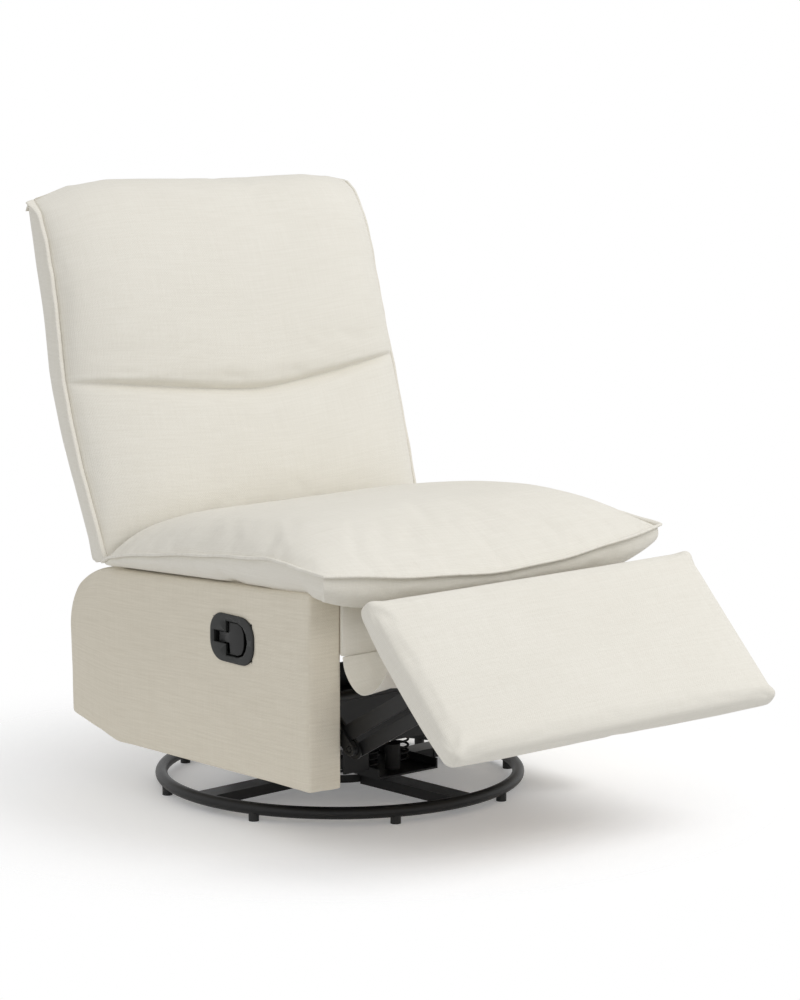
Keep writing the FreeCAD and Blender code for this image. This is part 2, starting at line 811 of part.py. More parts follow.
def rocker():
    wide = ("-cradle_half_width", "cradle_half_width")
    inside = ("-cradle_half_width + steel", "cradle_half_width - steel")
    long = ("-cradle_half_length", "cradle_half_length")
    channel = cut(
        "cradle_channel",
        box("cradle_block", wide, long, (CRADLE_BOTTOM, CRADLE_FLOOR + " + cradle_lip")),
        box("cradle_space", inside, long, (CRADLE_FLOOR, CRADLE_FLOOR + " + cradle_lip")),
    )
    axis = ("0", "rock_axis_z")
    ears = fuse(
        "cradle_ears",
        box("cradle_ear_foot", wide, ("-ear_radius", "ear_radius"), (CRADLE_FLOOR, "rock_axis_z")),
        rod("cradle_ear_top", "x", "ear_radius", wide[0], wide[1], axis),
    )
    hollow = box(
        "cradle_ear_space",
        inside,
        ("-ear_radius", "ear_radius"),
        (CRADLE_FLOOR, "rock_axis_z + ear_radius"),
    )
    shaft_end = "cradle_half_width + side_gap + steel + link_gap + rock_collar_width"
    shaft_start = "-(" + shaft_end + ")"
    bore = rod("cradle_bore", "x", "rock_shaft_radius", shaft_start, shaft_end, axis)
    king_bore = rod("cradle_king_bore", "z", "king_radius", "0", "2 * hub_top", ("0", "0"))
    open_ears = cut("cradle_open_ears", ears, hollow)
    node("rocker_cradle", cut("rocker_cradle", fuse("cradle_all", channel, open_ears), bore, king_bore))

    shaft = rod("rock_shaft", "x", "rock_shaft_radius", shaft_start, shaft_end, axis)
    collar_start = "cradle_half_width + side_gap + steel + link_gap"
    collar = rod("rock_collar", "x", "rock_collar_radius", collar_start, shaft_end, axis)
    node("rocker_shaft", fuse("rocker_shaft", shaft, collar, mirrored(collar)))

    ear_inner = "cradle_half_width + side_gap"
    ear_outer = ear_inner + " + steel"
    under = "saddle_top - steel"
    across = ("-saddle_half_width", "saddle_half_width")
    top = box("saddle_plate", across, ("-saddle_half_length", "saddle_half_length"), (under, "saddle_top"))
    saddle_ear = fuse(
        "saddle_ear",
        box("saddle_ear_foot", (ear_inner, ear_outer), ("-ear_radius", "ear_radius"), ("rock_axis_z", under)),
        rod("saddle_ear_end", "x", "ear_radius", ear_inner, ear_outer, axis),
    )
    bush_radius = "rock_shaft_radius + bushing_wall"
    bush_bore = rod("saddle_bore", "x", bush_radius, ear_inner, ear_outer, axis)
    ear = cut("saddle_ear_bored", saddle_ear, bush_bore)
    front = ("-saddle_half_length", "-saddle_half_length + steel")
    rear = ("saddle_half_length - steel", "saddle_half_length")
    legs = []
    for place, run in (("front", front), ("rear", rear)):
        flange = box("saddle_flange_" + place, across, run, ("saddle_top - saddle_leg", under))
        notch = box(
            "saddle_notch_" + place,
            ("-(" + ear_outer + ")", ear_outer),
            run,
            ("saddle_top - saddle_leg", under + " - saddle_lip"),
        )
        legs.append(cut("saddle_legs_" + place, flange, notch))
    node("rocker_saddle", fuse("rocker_saddle", top, ear, mirrored(ear), *legs))

    bushing = cut(
        "bushing",
        rod("bushing_blank", "x", bush_radius, ear_inner, ear_outer, axis),
        rod("bushing_bore", "x", "rock_shaft_radius + running_clearance", ear_inner, ear_outer, axis),
    )
    node("shaft_bushings", pair("shaft_bushings", bushing))

    floor_height = size("hub_top") + 2 * size("race_thickness") + size("race_gap") + size("steel")
    room = size("saddle_top") - size("steel") - floor_height
    wire = size("rock_spring_wire")
    foot = wire + size("spring_seat_gap")
    pitch = (room - 2 * foot) / size("rock_spring_turns")
    springs = []
    for side in (-1, 1):
        for end in (-1, 1):
            spring = coil(size("rock_spring_radius"), wire, size("rock_spring_turns"), pitch)
            x = side * size("rock_spring_x")
            y = end * size("rock_spring_y")
            spring.translate(Vector(x, y, floor_height + foot))
            springs.append(spring)
    node("rock_springs", solid("rock_springs", Part.makeCompound(springs)))

    stops = []
    for name, place in (("front", "-rock_stop_y"), ("rear", "rock_stop_y")):
        stop_top = CRADLE_FLOOR + " + rock_stop_height"
        stops.append(rod("rock_stop_" + name, "z", "rock_stop_radius", CRADLE_FLOOR, stop_top, ("0", place)))
    node("rock_stops", group("rock_stops", *stops))


# Side panels: a board with an upholstered cover that wraps its edges


def panel_corners(inset):
    """The panel's outline, drawn in all round by an inset."""
    return (
        ("-panel_front + " + inset, "panel_front_bottom + " + inset),
        ("panel_heel_y", "panel_heel_z + " + inset),
        ("panel_rear_bottom_y - " + inset, "panel_rear_bottom_z + " + inset),
        ("panel_rear_y - " + inset, "panel_rear_top - " + inset),
        ("-panel_front + " + inset, "panel_front_top - " + inset),
    )


def rear_top_edge(edge):
    """A test for the edge across the panel's rear top corner."""
    middle = edge.CenterOfMass
    return runs_along("x")(edge) and middle.y > 0 and middle.z > size("recline_z")


def side_panels():
    bolt_holes = [(place[0], place[1], "plate_bolt_radius") for place in PLATE_BOLTS]
    board_holes = bolt_holes + [("recline_y", "recline_z", "recline_bolt_radius")]
    blank = upright_plate("panel_blank", panel_corners("0"), (), "panel_inner", "panel_outer - panel_inner")
    round_blank = rounded("panel_blank_round", blank, "panel_rear_round", rear_top_edge)
    core = upright_plate("board_blank", panel_corners("panel_edge"), (), "panel_inner", "panel_board")
    add_cells({"board_rear_round": size("panel_rear_round") - size("panel_edge")})
    round_core = rounded("board_round", core, "board_rear_round", rear_top_edge)
    drills = [
        rod("board_hole_%d" % number, "x", radius, "panel_inner", "panel_inner + bolt_grip", (y, z))
        for number, (y, z, radius) in enumerate(board_holes)
    ]
    board = cut("side_board", round_core, *drills)
    cover = cut("side_cover", round_blank, round_core)
    cup = mirrored(cup_block("cup_room", "cup_wall", "panel_outer - cup_depth - cup_wall", "panel_outer"))
    node("side_board_left", board)
    node("side_board_right", cut("side_board_right", mirrored(board), cup))
    node("side_cover_left", cover)
    node("side_cover_right", cut("side_cover_right", mirrored(cover), cup))


PLATE_BOLTS = (
    ("-plate_bolt_y", "plate_bolt_high_z"),
    ("-plate_bolt_y", "plate_bolt_low_z"),
    ("plate_bolt_y", "plate_bolt_low_z"),
    ("plate_bolt_y", "recline_z"),
)


# Steel side plates, their bolts and the two rails that cross between them


def mechanism_frame():
    inner = "panel_inner - steel"
    holes = [(place[0], place[1], "plate_bolt_radius") for place in PLATE_BOLTS]
    holes.append(("recline_y", "recline_z", "recline_bolt_radius"))
    holes.append(("drive_pivot_y", "drive_pivot_z", "torque_spigot_radius + running_clearance"))
    holes.append(("control_pivot_y", "control_pivot_z", "pin_radius"))
    corners = (
        ("-plate_front", "plate_nose_z"),
        ("-plate_foot_y", "saddle_top"),
        ("plate_foot_y", "saddle_top"),
        ("plate_rear", "plate_rear_low_z"),
        ("plate_rear", "plate_rear_high_z"),
        ("plate_bolt_y", "plate_top"),
        ("-plate_front", "plate_top"),
    )
    plate = upright_plate("side_plate", corners, holes, inner, "steel")
    node("side_plate_left", plate)
    node("side_plate_right", mirrored(plate))
    bolts = []
    head_end = inner + " - bolt_head_height"
    for number, place in enumerate(PLATE_BOLTS):
        bolt = fuse(
            "plate_bolt_%d" % number,
            rod("plate_bolt_head_%d" % number, "x", "plate_bolt_head", head_end, inner, place),
            rod("plate_shank_%d" % number, "x", "plate_bolt_radius", inner, "panel_inner + bolt_grip", place),
        )
        bolts.extend((bolt, mirrored(bolt)))
    node("side_plate_bolts", group("side_plate_bolts", *bolts))

    across = ("-(" + inner + ")", inner)
    base_top = "saddle_top + steel"
    front_flange = ("-saddle_half_length", "-saddle_half_length + cross_rail_flange")
    front_web = ("-saddle_half_length", "-saddle_half_length + steel")
    rear_flange = ("saddle_half_length - cross_rail_flange", "saddle_half_length")
    rear_web = ("saddle_half_length - steel", "saddle_half_length")
    node("cross_rail_front", fuse(
        "cross_rail_front",
        box("front_cross_flange", across, front_flange, ("saddle_top", base_top)),
        box("front_cross_web", across, front_web, ("saddle_top", "saddle_top + front_rail_web")),
    ))
    node("cross_rail_rear", fuse(
        "cross_rail_rear",
        box("rear_cross_flange", across, rear_flange, ("saddle_top", base_top)),
        box("rear_cross_web", across, rear_web, ("saddle_top", "saddle_top + rear_rail_web")),
    ))


# Seat: wooden rails, zigzag springs with their clips, covers and the cushion


def seat_frame():
    across = ("-panel_inner", "panel_inner")
    front = ("-panel_front", "-panel_front + rail_thickness")
    node("front_rail", box("front_rail", across, front, ("front_rail_bottom", "front_rail_top")))
    rear = ("rear_rail_y", "rear_rail_y + rail_thickness")
    node("rear_rail", box("rear_rail", across, rear, ("rear_rail_bottom", "rear_rail_top")))
    cover = ("-panel_front - rail_cover_thickness", "-panel_front")
    node("front_rail_cover", box("front_rail_cover", across, cover, ("rail_cover_bottom", "rail_cover_top")))

    wire = size("seat_spring_wire")
    start_y = -size("panel_front") + size("clip_inset")
    end_y = size("rear_rail_y") + size("rail_thickness") - size("clip_inset")
    under = wire + size("spring_seat_gap")
    start_z = panel_top(start_y) - under
    end_z = panel_top(end_y) - under
    springs = []
    clips = []
    middle = (size("seat_spring_count") - 1) / 2
    for number in range(int(size("seat_spring_count"))):
        x = (number - middle) * size("seat_spring_spacing")
        path = zigzag(Vector(x, start_y, start_z), Vector(x, end_y, end_z))
        spring = wire_solid(path, wire)
        springs.append(spring)
        for rail_y, rail_z in ((start_y, size("front_rail_top")), (end_y, size("rear_rail_top"))):
            inward = 1 if rail_y < 0 else -1
            corner_y = min(rail_y, rail_y + inward * size("clip_width"))
            corner = Vector(x - size("clip_width") / 2, corner_y, rail_z)
            block = Part.makeBox(size("clip_width"), size("clip_width"), size("clip_height"), corner)
            clips.extend(block.cut(spring).Solids)
    node("seat_springs", solid("seat_springs", Part.makeCompound(springs)))
    node("spring_clips", solid("spring_clips", Part.makeCompound(clips)))


def zigzag(start, end):
    """A wire's path from rail to rail, straight in both ends and bent to and fro between."""
    run = end - start
    way = Vector(run).normalize()
    points = [start, start + way * size("seat_spring_end")]
    bends = int(size("seat_spring_bends"))
    free = run.Length - 2 * size("seat_spring_end")
    for number in range(bends):
        side = size("seat_spring_swing") * (1 if number % 2 else -1)
        along = size("seat_spring_end") + free * (number + 1) / (bends + 1)
        points.append(start + way * along + Vector(side, 0, 0))
    points.extend((end - way * size("seat_spring_end"), end))
    return bent_path(points, size("seat_spring_bend_radius"))


def even_spread(half_width, count):
    """Places from edge to edge, close together near the edges."""
    turns = [-math.pi / 2 + math.pi * number / (count - 1) for number in range(count)]
    return [half_width * math.sin(turn) for turn in turns]


def fullness(x, half_width):
    """How full a cushion is across its width: none at its seams and all in its middle."""
    return math.sqrt(max(0.0, 1 - (x / half_width) ** 2))


CUSHION_SECTIONS = 13
SEAT_SHOULDER = {"along": 0.25, "rise": 0.55, "fuller": 0.15}
SEAT_BACK_FALL = 0.33
NOSE_TURN = 0.2


def seat_cushion():
    """The cushion's crown above its seam, its drawn-in sides and the nose over the front rail."""
    half_width = size("cushion_half_width")
    rear_y = size("cushion_rear_y")
    crest_y = -size("cushion_crown_y")
    front_y = -size("panel_front") - size("soft_gap")
    edge = size("cushion_edge")
    sections = []
    for x in even_spread(half_width, CUSHION_SECTIONS):
        full = fullness(x, half_width)
        bow = full ** 2
        side = full < 1e-6
        seam_y = -size("seam_front_y") - size("seam_front_bulge") * bow
        seam_z = size("seam_front_z") - size("seam_front_sag") * bow
        crest_z = size("seam_crest_z") + (size("cushion_crown_z") - size("seam_crest_z")) * full
        rear_top = size("seam_rear_z") + (size("cushion_rear_top") - size("seam_rear_z")) * full
        low_rear = size("seam_rear_z") - edge if side else panel_top(rear_y)
        low_front = size("seam_front_z") - edge if side else panel_top(front_y)
        low_nose = size("seam_front_z") - 2 * edge if side else size("nose_bottom")
        nose_y = front_y - size("nose_depth")
        shoulder_y = seam_y + SEAT_SHOULDER["along"] * (crest_y - seam_y)
        rise = SEAT_SHOULDER["rise"] + SEAT_SHOULDER["fuller"] * full
        shoulder_z = seam_z + rise * (crest_z - seam_z) + edge * (1 - full)
        back_y = (crest_y + rear_y) / 2
        back_z = crest_z - SEAT_BACK_FALL * (crest_z - rear_top)
        sections.append(closed_wire(
            Vector(x, rear_y, low_rear),
            Vector(x, front_y, low_front),
            Vector(x, front_y, low_nose),
            Vector(x, nose_y, low_nose - edge * (0 if side else NOSE_TURN)),
            Vector(x, seam_y, seam_z),
            (Vector(x, shoulder_y, shoulder_z), Vector(x, crest_y, crest_z)),
            (Vector(x, back_y, back_z), Vector(x, rear_y, rear_top)),
        ))
    node("seat_cushion", solid("seat_cushion", Part.makeLoft(sections, True, True)))


def gap_cover():
    """The cloth that sags between the front rail and the footrest."""
    half_width = size("gap_cover_half_width")
    thickness = size("gap_cover_thickness")
    x = -half_width
    end_y, end_z = footrest_place(size("gap_cover_end_along"), thickness / 2 + size("soft_gap"))
    start_y = -size("panel_front") - size("rail_cover_thickness") / 2
    low_y = size("gap_cover_low_y")
    low_z = size("gap_cover_low_z")
    path = bent_path([
        Vector(x, start_y, size("rail_cover_bottom") - size("soft_gap")),
        Vector(x, low_y, low_z),
        Vector(x, low_y - size("gap_cover_low_width"), low_z),
        Vector(x, end_y, end_z),
    ], size("gap_cover_round"))
    first = path.Edges[0]
    way = first.tangentAt(first.FirstParameter)
    side = way.cross(Vector(1, 0, 0)) * (thickness / 2)
    start = first.valueAt(first.FirstParameter)
    wide = Vector(2 * half_width, 0, 0)
    corners = [start + side, start - side, start - side + wide, start + side + wide]
    section = Part.makePolygon(corners + corners[:1])
    node("gap_cover", solid("gap_cover", swept(path, section)))


# Backrest: wooden frame, straps, steel brackets on the recline bolts, covers and pads


def back_place(x, up, forward):
    """A place in the backrest's leaned frame: up along it and forward of its seam plane."""
    lean = math.radians(size("back_lean"))
    y = size("back_foot_y") + up * math.sin(lean) - forward * math.cos(lean)
    z = size("back_foot_z") + up * math.cos(lean) + forward * math.sin(lean)
    return Vector(x, y, z)


def back_frame():
    bracket_outer = "panel_inner - steel - link_gap"
    bracket_inner = bracket_outer + " - back_bracket_thickness"
    front = "back_pad_rear + back_strap"
    depth = (front, front + " + upright_depth")
    upright_outer = bracket_outer + " + upright_width"
    stile = (bracket_outer, upright_outer)
    upright = leaned_box("upright", BACK, stile, depth, ("-back_bottom", "upright_top"))
    node("back_upright_left", upright)
    node("back_upright_right", mirrored(upright))
    top = ("-(" + bracket_outer + ")", bracket_outer)
    head = ("upright_top - back_rail_height", "upright_top")
    node("back_top_rail", leaned_box("back_top_rail", BACK, top, depth, head))
    low = ("-(" + bracket_inner + ")", bracket_inner)
    node("back_bottom_rail", leaned_box("back_bottom_rail", BACK, low, depth, ("0", "back_rail_height")))
    straps = []
    reach = ("-(" + upright_outer + ")", upright_outer)
    for number in range(int(size("back_strap_count"))):
        start = "back_strap_first + %d * back_strap_step" % number
        height = (start, start + " + back_strap_width")
        straps.append(leaned_box("strap_%d" % number, BACK, reach, ("back_pad_rear", front), height))
    node("back_straps", group("back_straps", *straps))
    boxing = leaned_box(
        "boxing_strip",
        BACK,
        (upright_outer, "back_boxing_half_width"),
        ("back_pad_rear", front + " + upright_depth"),
        ("-back_bottom", "upright_top"),
    )
    node("back_boxing", pair("back_boxing", boxing))
    sheet_depth = (front + " + upright_depth", front + " + upright_depth + outside_back_thickness")
    sheet_width = ("-back_boxing_half_width", "back_boxing_half_width")
    node("outside_back", fuse(
        "outside_back",
        leaned_box("outside_sheet", BACK, sheet_width, sheet_depth, ("-back_bottom", "upright_top")),
        leaned_box("outside_tail", BACK, low, sheet_depth, ("-back_tail", "-back_bottom")),
    ))

    add_cells({"bracket_turn": 90 - size("back_lean")})
    bracket = link(
        "back_bracket",
        "back_bracket_reach - recline_height",
        "back_bracket_half_width",
        "back_bracket_thickness",
        (("0", "recline_bolt_radius + running_clearance"),),
        ("recline_y", "recline_z"),
        "bracket_turn",
        bracket_inner,
    )
    node("back_brackets", pair("back_brackets", bracket))
    pivot = ("recline_y", "recline_z")
    head_outer = bracket_inner + " - link_gap"
    bolt = fuse(
        "recline_bolt",
        rod("recline_head", "x", "recline_bolt_head", head_outer + " - bolt_head_height", head_outer, pivot),
        rod("recline_shank", "x", "recline_bolt_radius", head_outer, "panel_inner + bolt_grip", pivot),
    )
    node("recline_bolts", pair("recline_bolts", bolt))


# Where a back pad's swell stands, as shares of its height and of its crown
LOWER_BELLY = 0.52
UPPER_BELLY = 0.46
SWELL_START = 0.2
SWELL_FORWARD = 0.58
FOOT_LIP = 0.9
BROW_FORWARD = 0.45
BROW_SWELL = 0.82
TOP_ROLL_FORWARD = 0.45
TOP_ROLL_REAR = 0.6


def swell(x, start, lip, belly, crown):
    """The arc of a pad's face from a drawn-in edge out to its fullest place."""
    forward = SWELL_FORWARD * crown + SWELL_START * lip
    return back_place(x, start + SWELL_START * (belly - start), forward), back_place(x, belly, crown)


def lower_pad_section(x, full, seam):
    """The lower pad's outline at one place across its width."""
    rear = -size("back_pad_rear")
    foot = -size("back_bottom")
    lip = size("back_channel") * full
    crown = size("back_least_crown") + size("back_lower_crown") * full
    belly = foot + LOWER_BELLY * (seam - foot)
    down = swell(x, seam, lip, belly, crown)
    return closed_wire(
        back_place(x, foot, rear),
        back_place(x, foot, FOOT_LIP * lip),
        swell(x, foot, lip, belly, crown),
        (down[0], back_place(x, seam, lip)),
        back_place(x, seam, rear),
    )


def upper_pad_section(x, full, seam):
    """The upper pad's outline at one place: its face, the roll over the top and the turn behind."""
    rear = -size("back_pad_rear")
    frame_rear = rear - size("back_strap") - size("upright_depth") - size("outside_back_thickness")
    top = size("back_height")
    roll = size("back_top_roll")
    lip = size("back_channel") * full
    crown = size("back_least_crown") + size("back_upper_crown") * full
    start = seam + size("soft_gap")
    belly = start + UPPER_BELLY * (top - start)
    brow = size("upright_top") + size("soft_gap")
    brow_forward = BROW_FORWARD * crown
    return closed_wire(
        back_place(x, start, rear),
        back_place(x, start, lip),
        swell(x, start, lip, belly, crown),
        (back_place(x, (belly + brow + 2 * roll) / 2, BROW_SWELL * crown), back_place(x, brow, brow_forward)),
        (
            back_place(x, top - roll / 2, TOP_ROLL_FORWARD * (brow_forward + rear)),
            back_place(x, top, rear - roll / 4),
        ),
        (back_place(x, top - roll / 2, TOP_ROLL_REAR * frame_rear), back_place(x, brow + roll, frame_rear)),
        back_place(x, brow, frame_rear),
        back_place(x, brow, rear),
    )


def back_pads():
    """Upper and lower pads with their crowns, drawn-in sides and the curved channel between them."""
    half_width = size("back_half_width")
    lower = []
    upper = []
    for x in even_spread(half_width, CUSHION_SECTIONS):
        full = fullness(x, half_width)
        seam = size("back_seam_middle") + size("back_seam_rise") * (x / half_width) ** 2
        lower.append(lower_pad_section(x, full, seam))
        upper.append(upper_pad_section(x, full, seam))
    node("back_pad_lower", solid("back_pad_lower", Part.makeLoft(lower, True, True)))
    node("back_pad_upper", solid("back_pad_upper", Part.makeLoft(upper, True, True)))


# Footrest linkage, layered inwards from the side plates: control, extension, drive and stay links


def layer(number):
    """The inner face of a link layer, counted inwards from the side plate."""
    return "panel_inner - steel - %d * link_step" % number


def pin(name, first_layer, last_layer, place):
    """A flush rivet through the links of two or more layers."""
    inner = layer(last_layer)
    outer = layer(first_layer) + " + link_thickness"
    return rod(name, "x", "pin_radius", inner, outer, place)


LOOSE_PIN = "pin_radius + running_clearance"


def footrest_links():
    drive = link(
        "drive_link",
        "drive_link_length + drive_link_tail",
        "link_half_width",
        "link_thickness",
        (
            ("0", "torque_spigot_radius"),
            ("drive_link_length", "pin_radius"),
            ("drive_link_length + drive_link_tail", "pin_radius"),
        ),
        ("drive_pivot_y", "drive_pivot_z"),
        "drive_turn",
        layer(3),
    )
    node("drive_links", pair("drive_links", drive))
    main = link(
        "extension_main",
        "extension_link_length",
        "link_half_width",
        "link_thickness",
        (("0", LOOSE_PIN), ("extension_link_length", "pin_radius")),
        ("elbow_y", "elbow_z"),
        "extension_turn",
        layer(2),
    )
    lug = link(
        "extension_lug",
        "lug_length",
        "small_link_half_width",
        "link_thickness",
        (("0", LOOSE_PIN), ("lug_length", "pin_radius")),
        ("elbow_y", "elbow_z"),
        "lug_turn",
        layer(2),
    )
    node("extension_links", pair("extension_links", fuse("extension_link", main, lug)))
    control = link(
        "control_link",
        "control_length",
        "small_link_half_width",
        "link_thickness",
        (("0", LOOSE_PIN), ("control_length", "pin_radius + control_end_clearance")),
        ("control_pivot_y", "control_pivot_z"),
        "control_turn",
        layer(1),
    )
    node("control_links", pair("control_links", control))
    stay = link(
        "stay_link",
        "stay_length",
        "small_link_half_width",
        "link_thickness",
        (("0", LOOSE_PIN), ("stay_length", "pin_radius + stay_end_clearance")),
        ("tail_y", "tail_z"),
        "stay_turn",
        layer(4),
    )
    node("stay_links", pair("stay_links", stay))

    elbow = pin("elbow_pin", 2, 3, ("elbow_y", "elbow_z"))
    tail = pin("tail_pin", 3, 4, ("tail_y", "tail_z"))
    node("drive_link_pins", group("drive_link_pins", elbow, mirrored(elbow), tail, mirrored(tail)))
    guide = pin("guide_pin", 1, 2, ("control_pin_y", "control_pin_z"))
    foot = pin("foot_pin", 2, 3, ("foot_pivot_y", "foot_pivot_z"))
    node("extension_link_pins", group("extension_link_pins", guide, mirrored(guide), foot, mirrored(foot)))
    control_place = ("control_pivot_y", "control_pivot_z")
    anchor = rod("control_anchor", "x", "pin_radius", layer(1), "panel_inner", control_place)
    node("control_link_pins", pair("control_link_pins", anchor))

    drive_place = ("drive_pivot_y", "drive_pivot_z")
    tube_end = layer(3)
    tube_start = "-(" + tube_end + ")"
    tube = rod("torque_main", "x", "torque_tube_radius", tube_start, tube_end, drive_place)
    spigot_end = "panel_inner - link_gap"
    spigot_start = "-(" + spigot_end + ")"
    spigot = rod("torque_spigots", "x", "torque_spigot_radius", spigot_start, spigot_end, drive_place)
    node("torque_tube", fuse("torque_tube", tube, spigot))
    bar_place = ("crossbar_y", "crossbar_z")
    bar = rod("crossbar", "x", "crossbar_radius", tube_start, tube_end, bar_place)
    node("footrest_crossbar", bar)


# Footrest: board, pad and the brackets that hang it on the linkage

# How quickly the pad fills from its sides, and how thick and how far drawn in it is there
FOOTREST_FILL = 2.2
FOOTREST_EDGE = 0.8
FOOTREST_DRAW = 0.55


def footrest():
    across = ("-footrest_half_width + footrest_margin", "footrest_half_width - footrest_margin")
    height = ("-footrest_length + footrest_margin", "-footrest_margin")
    board = leaned_box("footrest_board", FOOTREST, across, ("-footrest_board", "0"), height)
    node("footrest_board", board)
    half_width = size("footrest_half_width")
    length = size("footrest_length")
    thickness = size("footrest_thickness")
    crown = size("footrest_crown")
    turn = size("footrest_round")
    tuck = size("footrest_tuck")
    slope = size("footrest_margin") - size("soft_gap")
    eased = turn * (1 - math.sqrt(0.5))
    least_crown = size("soft_gap")
    sections = []
    for x in even_spread(half_width, CUSHION_SECTIONS):
        full = fullness(x, half_width)
        body = min(1.0, FOOTREST_FILL * full)
        face = -thickness * (FOOTREST_EDGE + (1 - FOOTREST_EDGE) * body)
        near = FOOTREST_DRAW * turn * (1 - body)
        far = length - near
        back = -tuck * (1 - body)

        def spot(along, behind):
            y, z = footrest_place(along, behind)
            return Vector(x, y, z)

        sections.append(closed_wire(
            spot(near + slope, back),
            spot(near, -tuck),
            spot(near, face + turn),
            (spot(near + eased, face + eased), spot(near + turn, face)),
            (spot(length / 2, face - crown * full - least_crown), spot(far - turn, face)),
            (spot(far - eased, face + eased), spot(far, face + turn)),
            spot(far, -tuck),
            spot(far - slope, back),
        ))
    blank = solid("footrest_pad_blank", Part.makeLoft(sections, True, True))
    room = leaned_box("footrest_board_room", FOOTREST, across, ("-footrest_board", "footrest_board"), height)
    node("footrest_pad", cut("footrest_pad", blank, room))

    ear_inner = layer(3)
    ear_outer = ear_inner + " + link_thickness"
    run = ("-bracket_end", "-bracket_start")
    flange = (ear_outer + " - bracket_flange", ear_outer)
    bracket = fuse(
        "bracket_blank",
        leaned_box("bracket_plate", FOOTREST, flange, ("0", "steel"), run),
        leaned_box("bracket_ear", FOOTREST, (ear_inner, ear_outer), ("0", "bracket_ear"), run),
    )
    foot_hole = rod("foot_hole", "x", LOOSE_PIN, ear_inner, ear_outer, ("foot_pivot_y", "foot_pivot_z"))
    stay_hole = rod("stay_hole", "x", "pin_radius", ear_inner, ear_outer, ("stay_pivot_y", "stay_pivot_z"))
    drilled = cut("footrest_bracket", bracket, foot_hole, stay_hole)
    node("footrest_brackets", pair("footrest_brackets", drilled))
    stay = pin("stay_pin", 3, 4, ("stay_pivot_y", "stay_pivot_z"))
    node("footrest_pins", pair("footrest_pins", stay))


# Release handle in the right-hand panel


def cup_block(name, wall, inner, outer):
    """A round-cornered block the size of the handle's cup and a wall, on the +X side."""
    block = box(
        name,
        (inner, outer),
        ("bezel_y - cup_length / 2 - " + wall, "bezel_y + cup_length / 2 + " + wall),
        ("bezel_z - cup_height / 2 - " + wall, "bezel_z + cup_height / 2 + " + wall),
    )
    return rounded(name + "_round", block, "cup_round", runs_along("x"))


def release_handle():
    face = "panel_outer"
    rim = "panel_outer + bezel_flange"
    plate = box(
        "bezel_plate",
        (face, rim),
        ("bezel_y - bezel_length / 2", "bezel_y + bezel_length / 2"),
        ("bezel_z - bezel_height / 2", "bezel_z + bezel_height / 2"),
    )
    round_plate = rounded("bezel_plate_round", plate, "bezel_round", runs_along("x"))
    shell = cup_block("cup_shell", "cup_wall", "panel_outer - cup_depth - cup_wall", face)
    hollow = cup_block("cup_hollow", "0", "panel_outer - cup_depth", rim)
    pin_x = "panel_outer - lever_pin_inset"
    pin_place = (pin_x, "lever_pin_y")
    pin_low = "bezel_z - cup_height / 2 - cup_wall / 2"
    pin_high = "bezel_z + cup_height / 2 + cup_wall / 2"
    pin_hole = rod("lever_pin_hole", "z", "lever_pin_radius", pin_low, pin_high, pin_place)
    bezel = cut("bezel", fuse("bezel_blank", round_plate, shell), hollow, pin_hole)
    node("handle_bezel", mirrored(bezel))
    lever_pin = rod("lever_pin", "z", "lever_pin_radius", pin_low, pin_high, pin_place)
    node("handle_pin", mirrored(lever_pin))

    thick = (pin_x + " - lever_thickness / 2", pin_x + " + lever_thickness / 2")
    paddle = box(
        "lever_paddle",
        thick,
        ("lever_paddle_front", "lever_paddle_rear"),
        ("bezel_z - lever_paddle_height / 2", "bezel_z + lever_paddle_height / 2"),
    )
    stem = box(
        "lever_stem",
        thick,
        ("lever_paddle_rear", "lever_pin_y"),
        ("bezel_z - lever_stem_height / 2", "bezel_z + lever_stem_height / 2"),
    )
    low = "bezel_z - lever_barrel_height / 2"
    high = "bezel_z + lever_barrel_height / 2"
    barrel = rod("lever_barrel", "z", "lever_barrel_radius", low, high, pin_place)
    bore = rod("lever_bore", "z", "lever_pin_radius + running_clearance", low, high, pin_place)
    lever = cut("lever", fuse("lever_blank", paddle, stem, barrel), bore)
    node("handle_lever", mirrored(lever))

    wire = size("lever_spring_wire")
    spring = coil(size("lever_spring_radius"), wire, size("lever_spring_turns"), size("lever_spring_pitch"))
    rise = size("lever_spring_turns") * size("lever_spring_pitch")
    barrel_low = size("bezel_z") - size("lever_barrel_height") / 2
    height = barrel_low - size("soft_gap") - wire - rise
    spring.translate(Vector(-size("panel_outer") + size("lever_pin_inset"), size("lever_pin_y"), height))
    node("handle_spring", solid("handle_spring", spring))


def check_document():
    """Stop if any object failed, or any sub-part has no valid solid."""
    doc.recompute()
    for thing in doc.Objects:
        if "Invalid" in thing.State or "Error" in thing.State:
            raise RuntimeError("failed object: " + thing.Name)
    for thing in nodes:
        if thing.Shape.isNull() or not thing.Shape.isValid() or not thing.Shape.Solids:
            raise RuntimeError("bad shape: " + thing.Label)


def write_parts():
    """One file for each sub-part."""
    os.makedirs("parts", exist_ok=True)
    for thing in nodes:
        thing.Shape.exportStep("parts/%s.step" % thing.Label)
    print("%d sub-parts" % len(nodes))


base()
swivel_bearing()
rocker()
side_panels()
mechanism_frame()
seat_frame()
seat_cushion()
gap_cover()
back_frame()
back_pads()
footrest_links()
footrest()
release_handle()
check_document()
write_parts()
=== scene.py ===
import math

